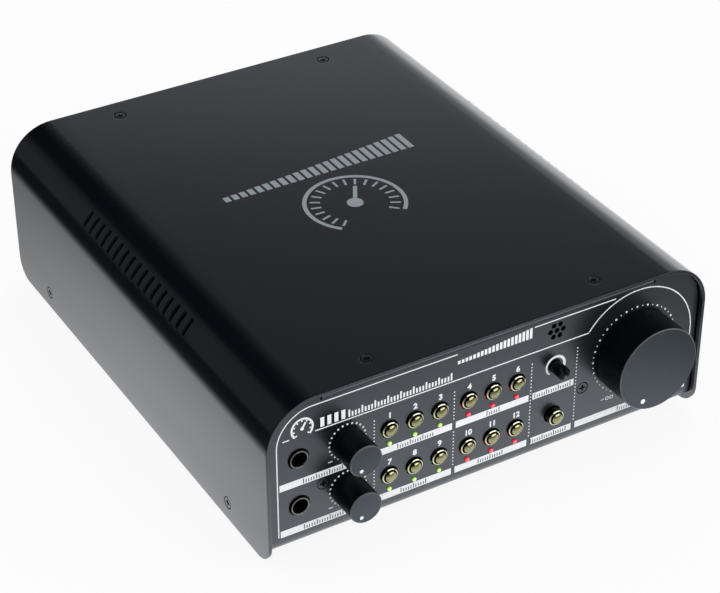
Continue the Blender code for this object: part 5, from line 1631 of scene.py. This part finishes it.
def makeFloor():
    # paper that is plain white to the camera; gloss sees it through the fades
    size = studio["floorSize"] / 2
    corners = [(-size, -size, 0), (size, -size, 0), (size, size, 0), (-size, size, 0)]
    mesh = meshFrom("floor", [facePart(corners)])
    addObject("floor", mesh)
    paper = newFinish("floorPaper", (studio["floorColour"],) * 3, 0.9)
    tree = paper.node_tree
    fades = fadesOf(tree, "Object", studio["floorFades"])
    behind = worked(tree, "MAXIMUM", fades["behind"], fades["behindRight"])
    right = worked(tree, "MAXIMUM", fades["right"], fades["rightFront"])
    shown = worked(tree, "MULTIPLY", fades["beside"], fades["beyond"], behind, fades["before"], right)
    camera, sent = rayKinds(tree)
    plain = shaderOf(paper).outputs[0]
    seen = mixed(tree, studio["floorGlow"], plain, glowing(tree, "Emission", studio["white"]))
    look = mixed(tree, camera, plain, seen)
    look = mixed(tree, sent, look, glowing(tree, "Emission", shown))
    tree.links.new(look, tree.nodes["Material Output"].inputs["Surface"])
    mesh.materials.append(paper)


def makeWorld():
    # plain light on the object; gloss shows white low down at the back and dark overhead and on the left
    world = bpy.data.worlds.new("studio")
    bpy.context.scene.world = world
    world.use_nodes = True
    tree = world.node_tree
    tree.nodes.clear()
    fades = fadesOf(tree, "Generated", studio["worldFades"])
    band = worked(tree, "ADD", fades["step"], fades["band"])
    behind = worked(tree, "MULTIPLY", fades["side"], band, fades["back"])
    before = worked(tree, "MULTIPLY", fades["side"], fades["front"])
    shown = worked(tree, "MAXIMUM", fades["left"], behind, before)
    camera, sent = rayKinds(tree)
    ambient, mirrored, white = (glowing(tree, "Background", strength)
                                for strength in (studio["ambient"], shown, studio["white"]))
    look = mixed(tree, camera, mixed(tree, sent, ambient, mirrored), white)
    tree.links.new(look, tree.nodes.new("ShaderNodeOutputWorld").inputs["Surface"])


def makeLamp(name, place, size, watts):
    light = bpy.data.lights.new(name, "AREA")
    light.shape = "RECTANGLE"
    light.size, light.size_y = size
    light.energy = watts
    lamp = addObject(name, light)
    lamp.location = place
    lamp.rotation_euler = (-Vector(place)).to_track_quat("-Z", "Y").to_euler()


shot = {
    "place": (-0.413036, -0.713106, 0.584990),
    "azimuth": 30.424,        # degrees to the right of +y
    "elevation": 33.996,      # looking down
    "roll": -0.126,
    "lens": 108.64,
    "sensor": 36,
    "nearest": 0.01,
}


def makeCamera():
    # the camera's own axes: right, up and back, turned by the roll about the line of sight
    azimuth, elevation, roll = (math.radians(shot[key]) for key in ("azimuth", "elevation", "roll"))
    right = np.array([math.cos(azimuth), -math.sin(azimuth), 0])
    forward = np.array([math.sin(azimuth) * math.cos(elevation), math.cos(azimuth) * math.cos(elevation),
                        -math.sin(elevation)])
    up = np.cross(right, forward)
    rolledRight = math.cos(roll) * right + math.sin(roll) * up
    rolledUp = -math.sin(roll) * right + math.cos(roll) * up
    data = bpy.data.cameras.new("camera")
    data.lens = shot["lens"]
    data.sensor_width = shot["sensor"]
    data.clip_start = shot["nearest"]
    camera = addObject("camera", data)
    turn = Matrix(np.stack([rolledRight, rolledUp, -forward], axis=1).tolist())
    camera.matrix_world = Matrix.Translation(shot["place"]) @ turn.to_4x4()
    bpy.context.scene.camera = camera


makeFloor()
makeWorld()
for name, lamp in studio["lamps"].items():
    makeLamp(name, **lamp)
makeCamera()
bpy.context.scene.view_settings.view_transform = "Standard"
print("studio made")
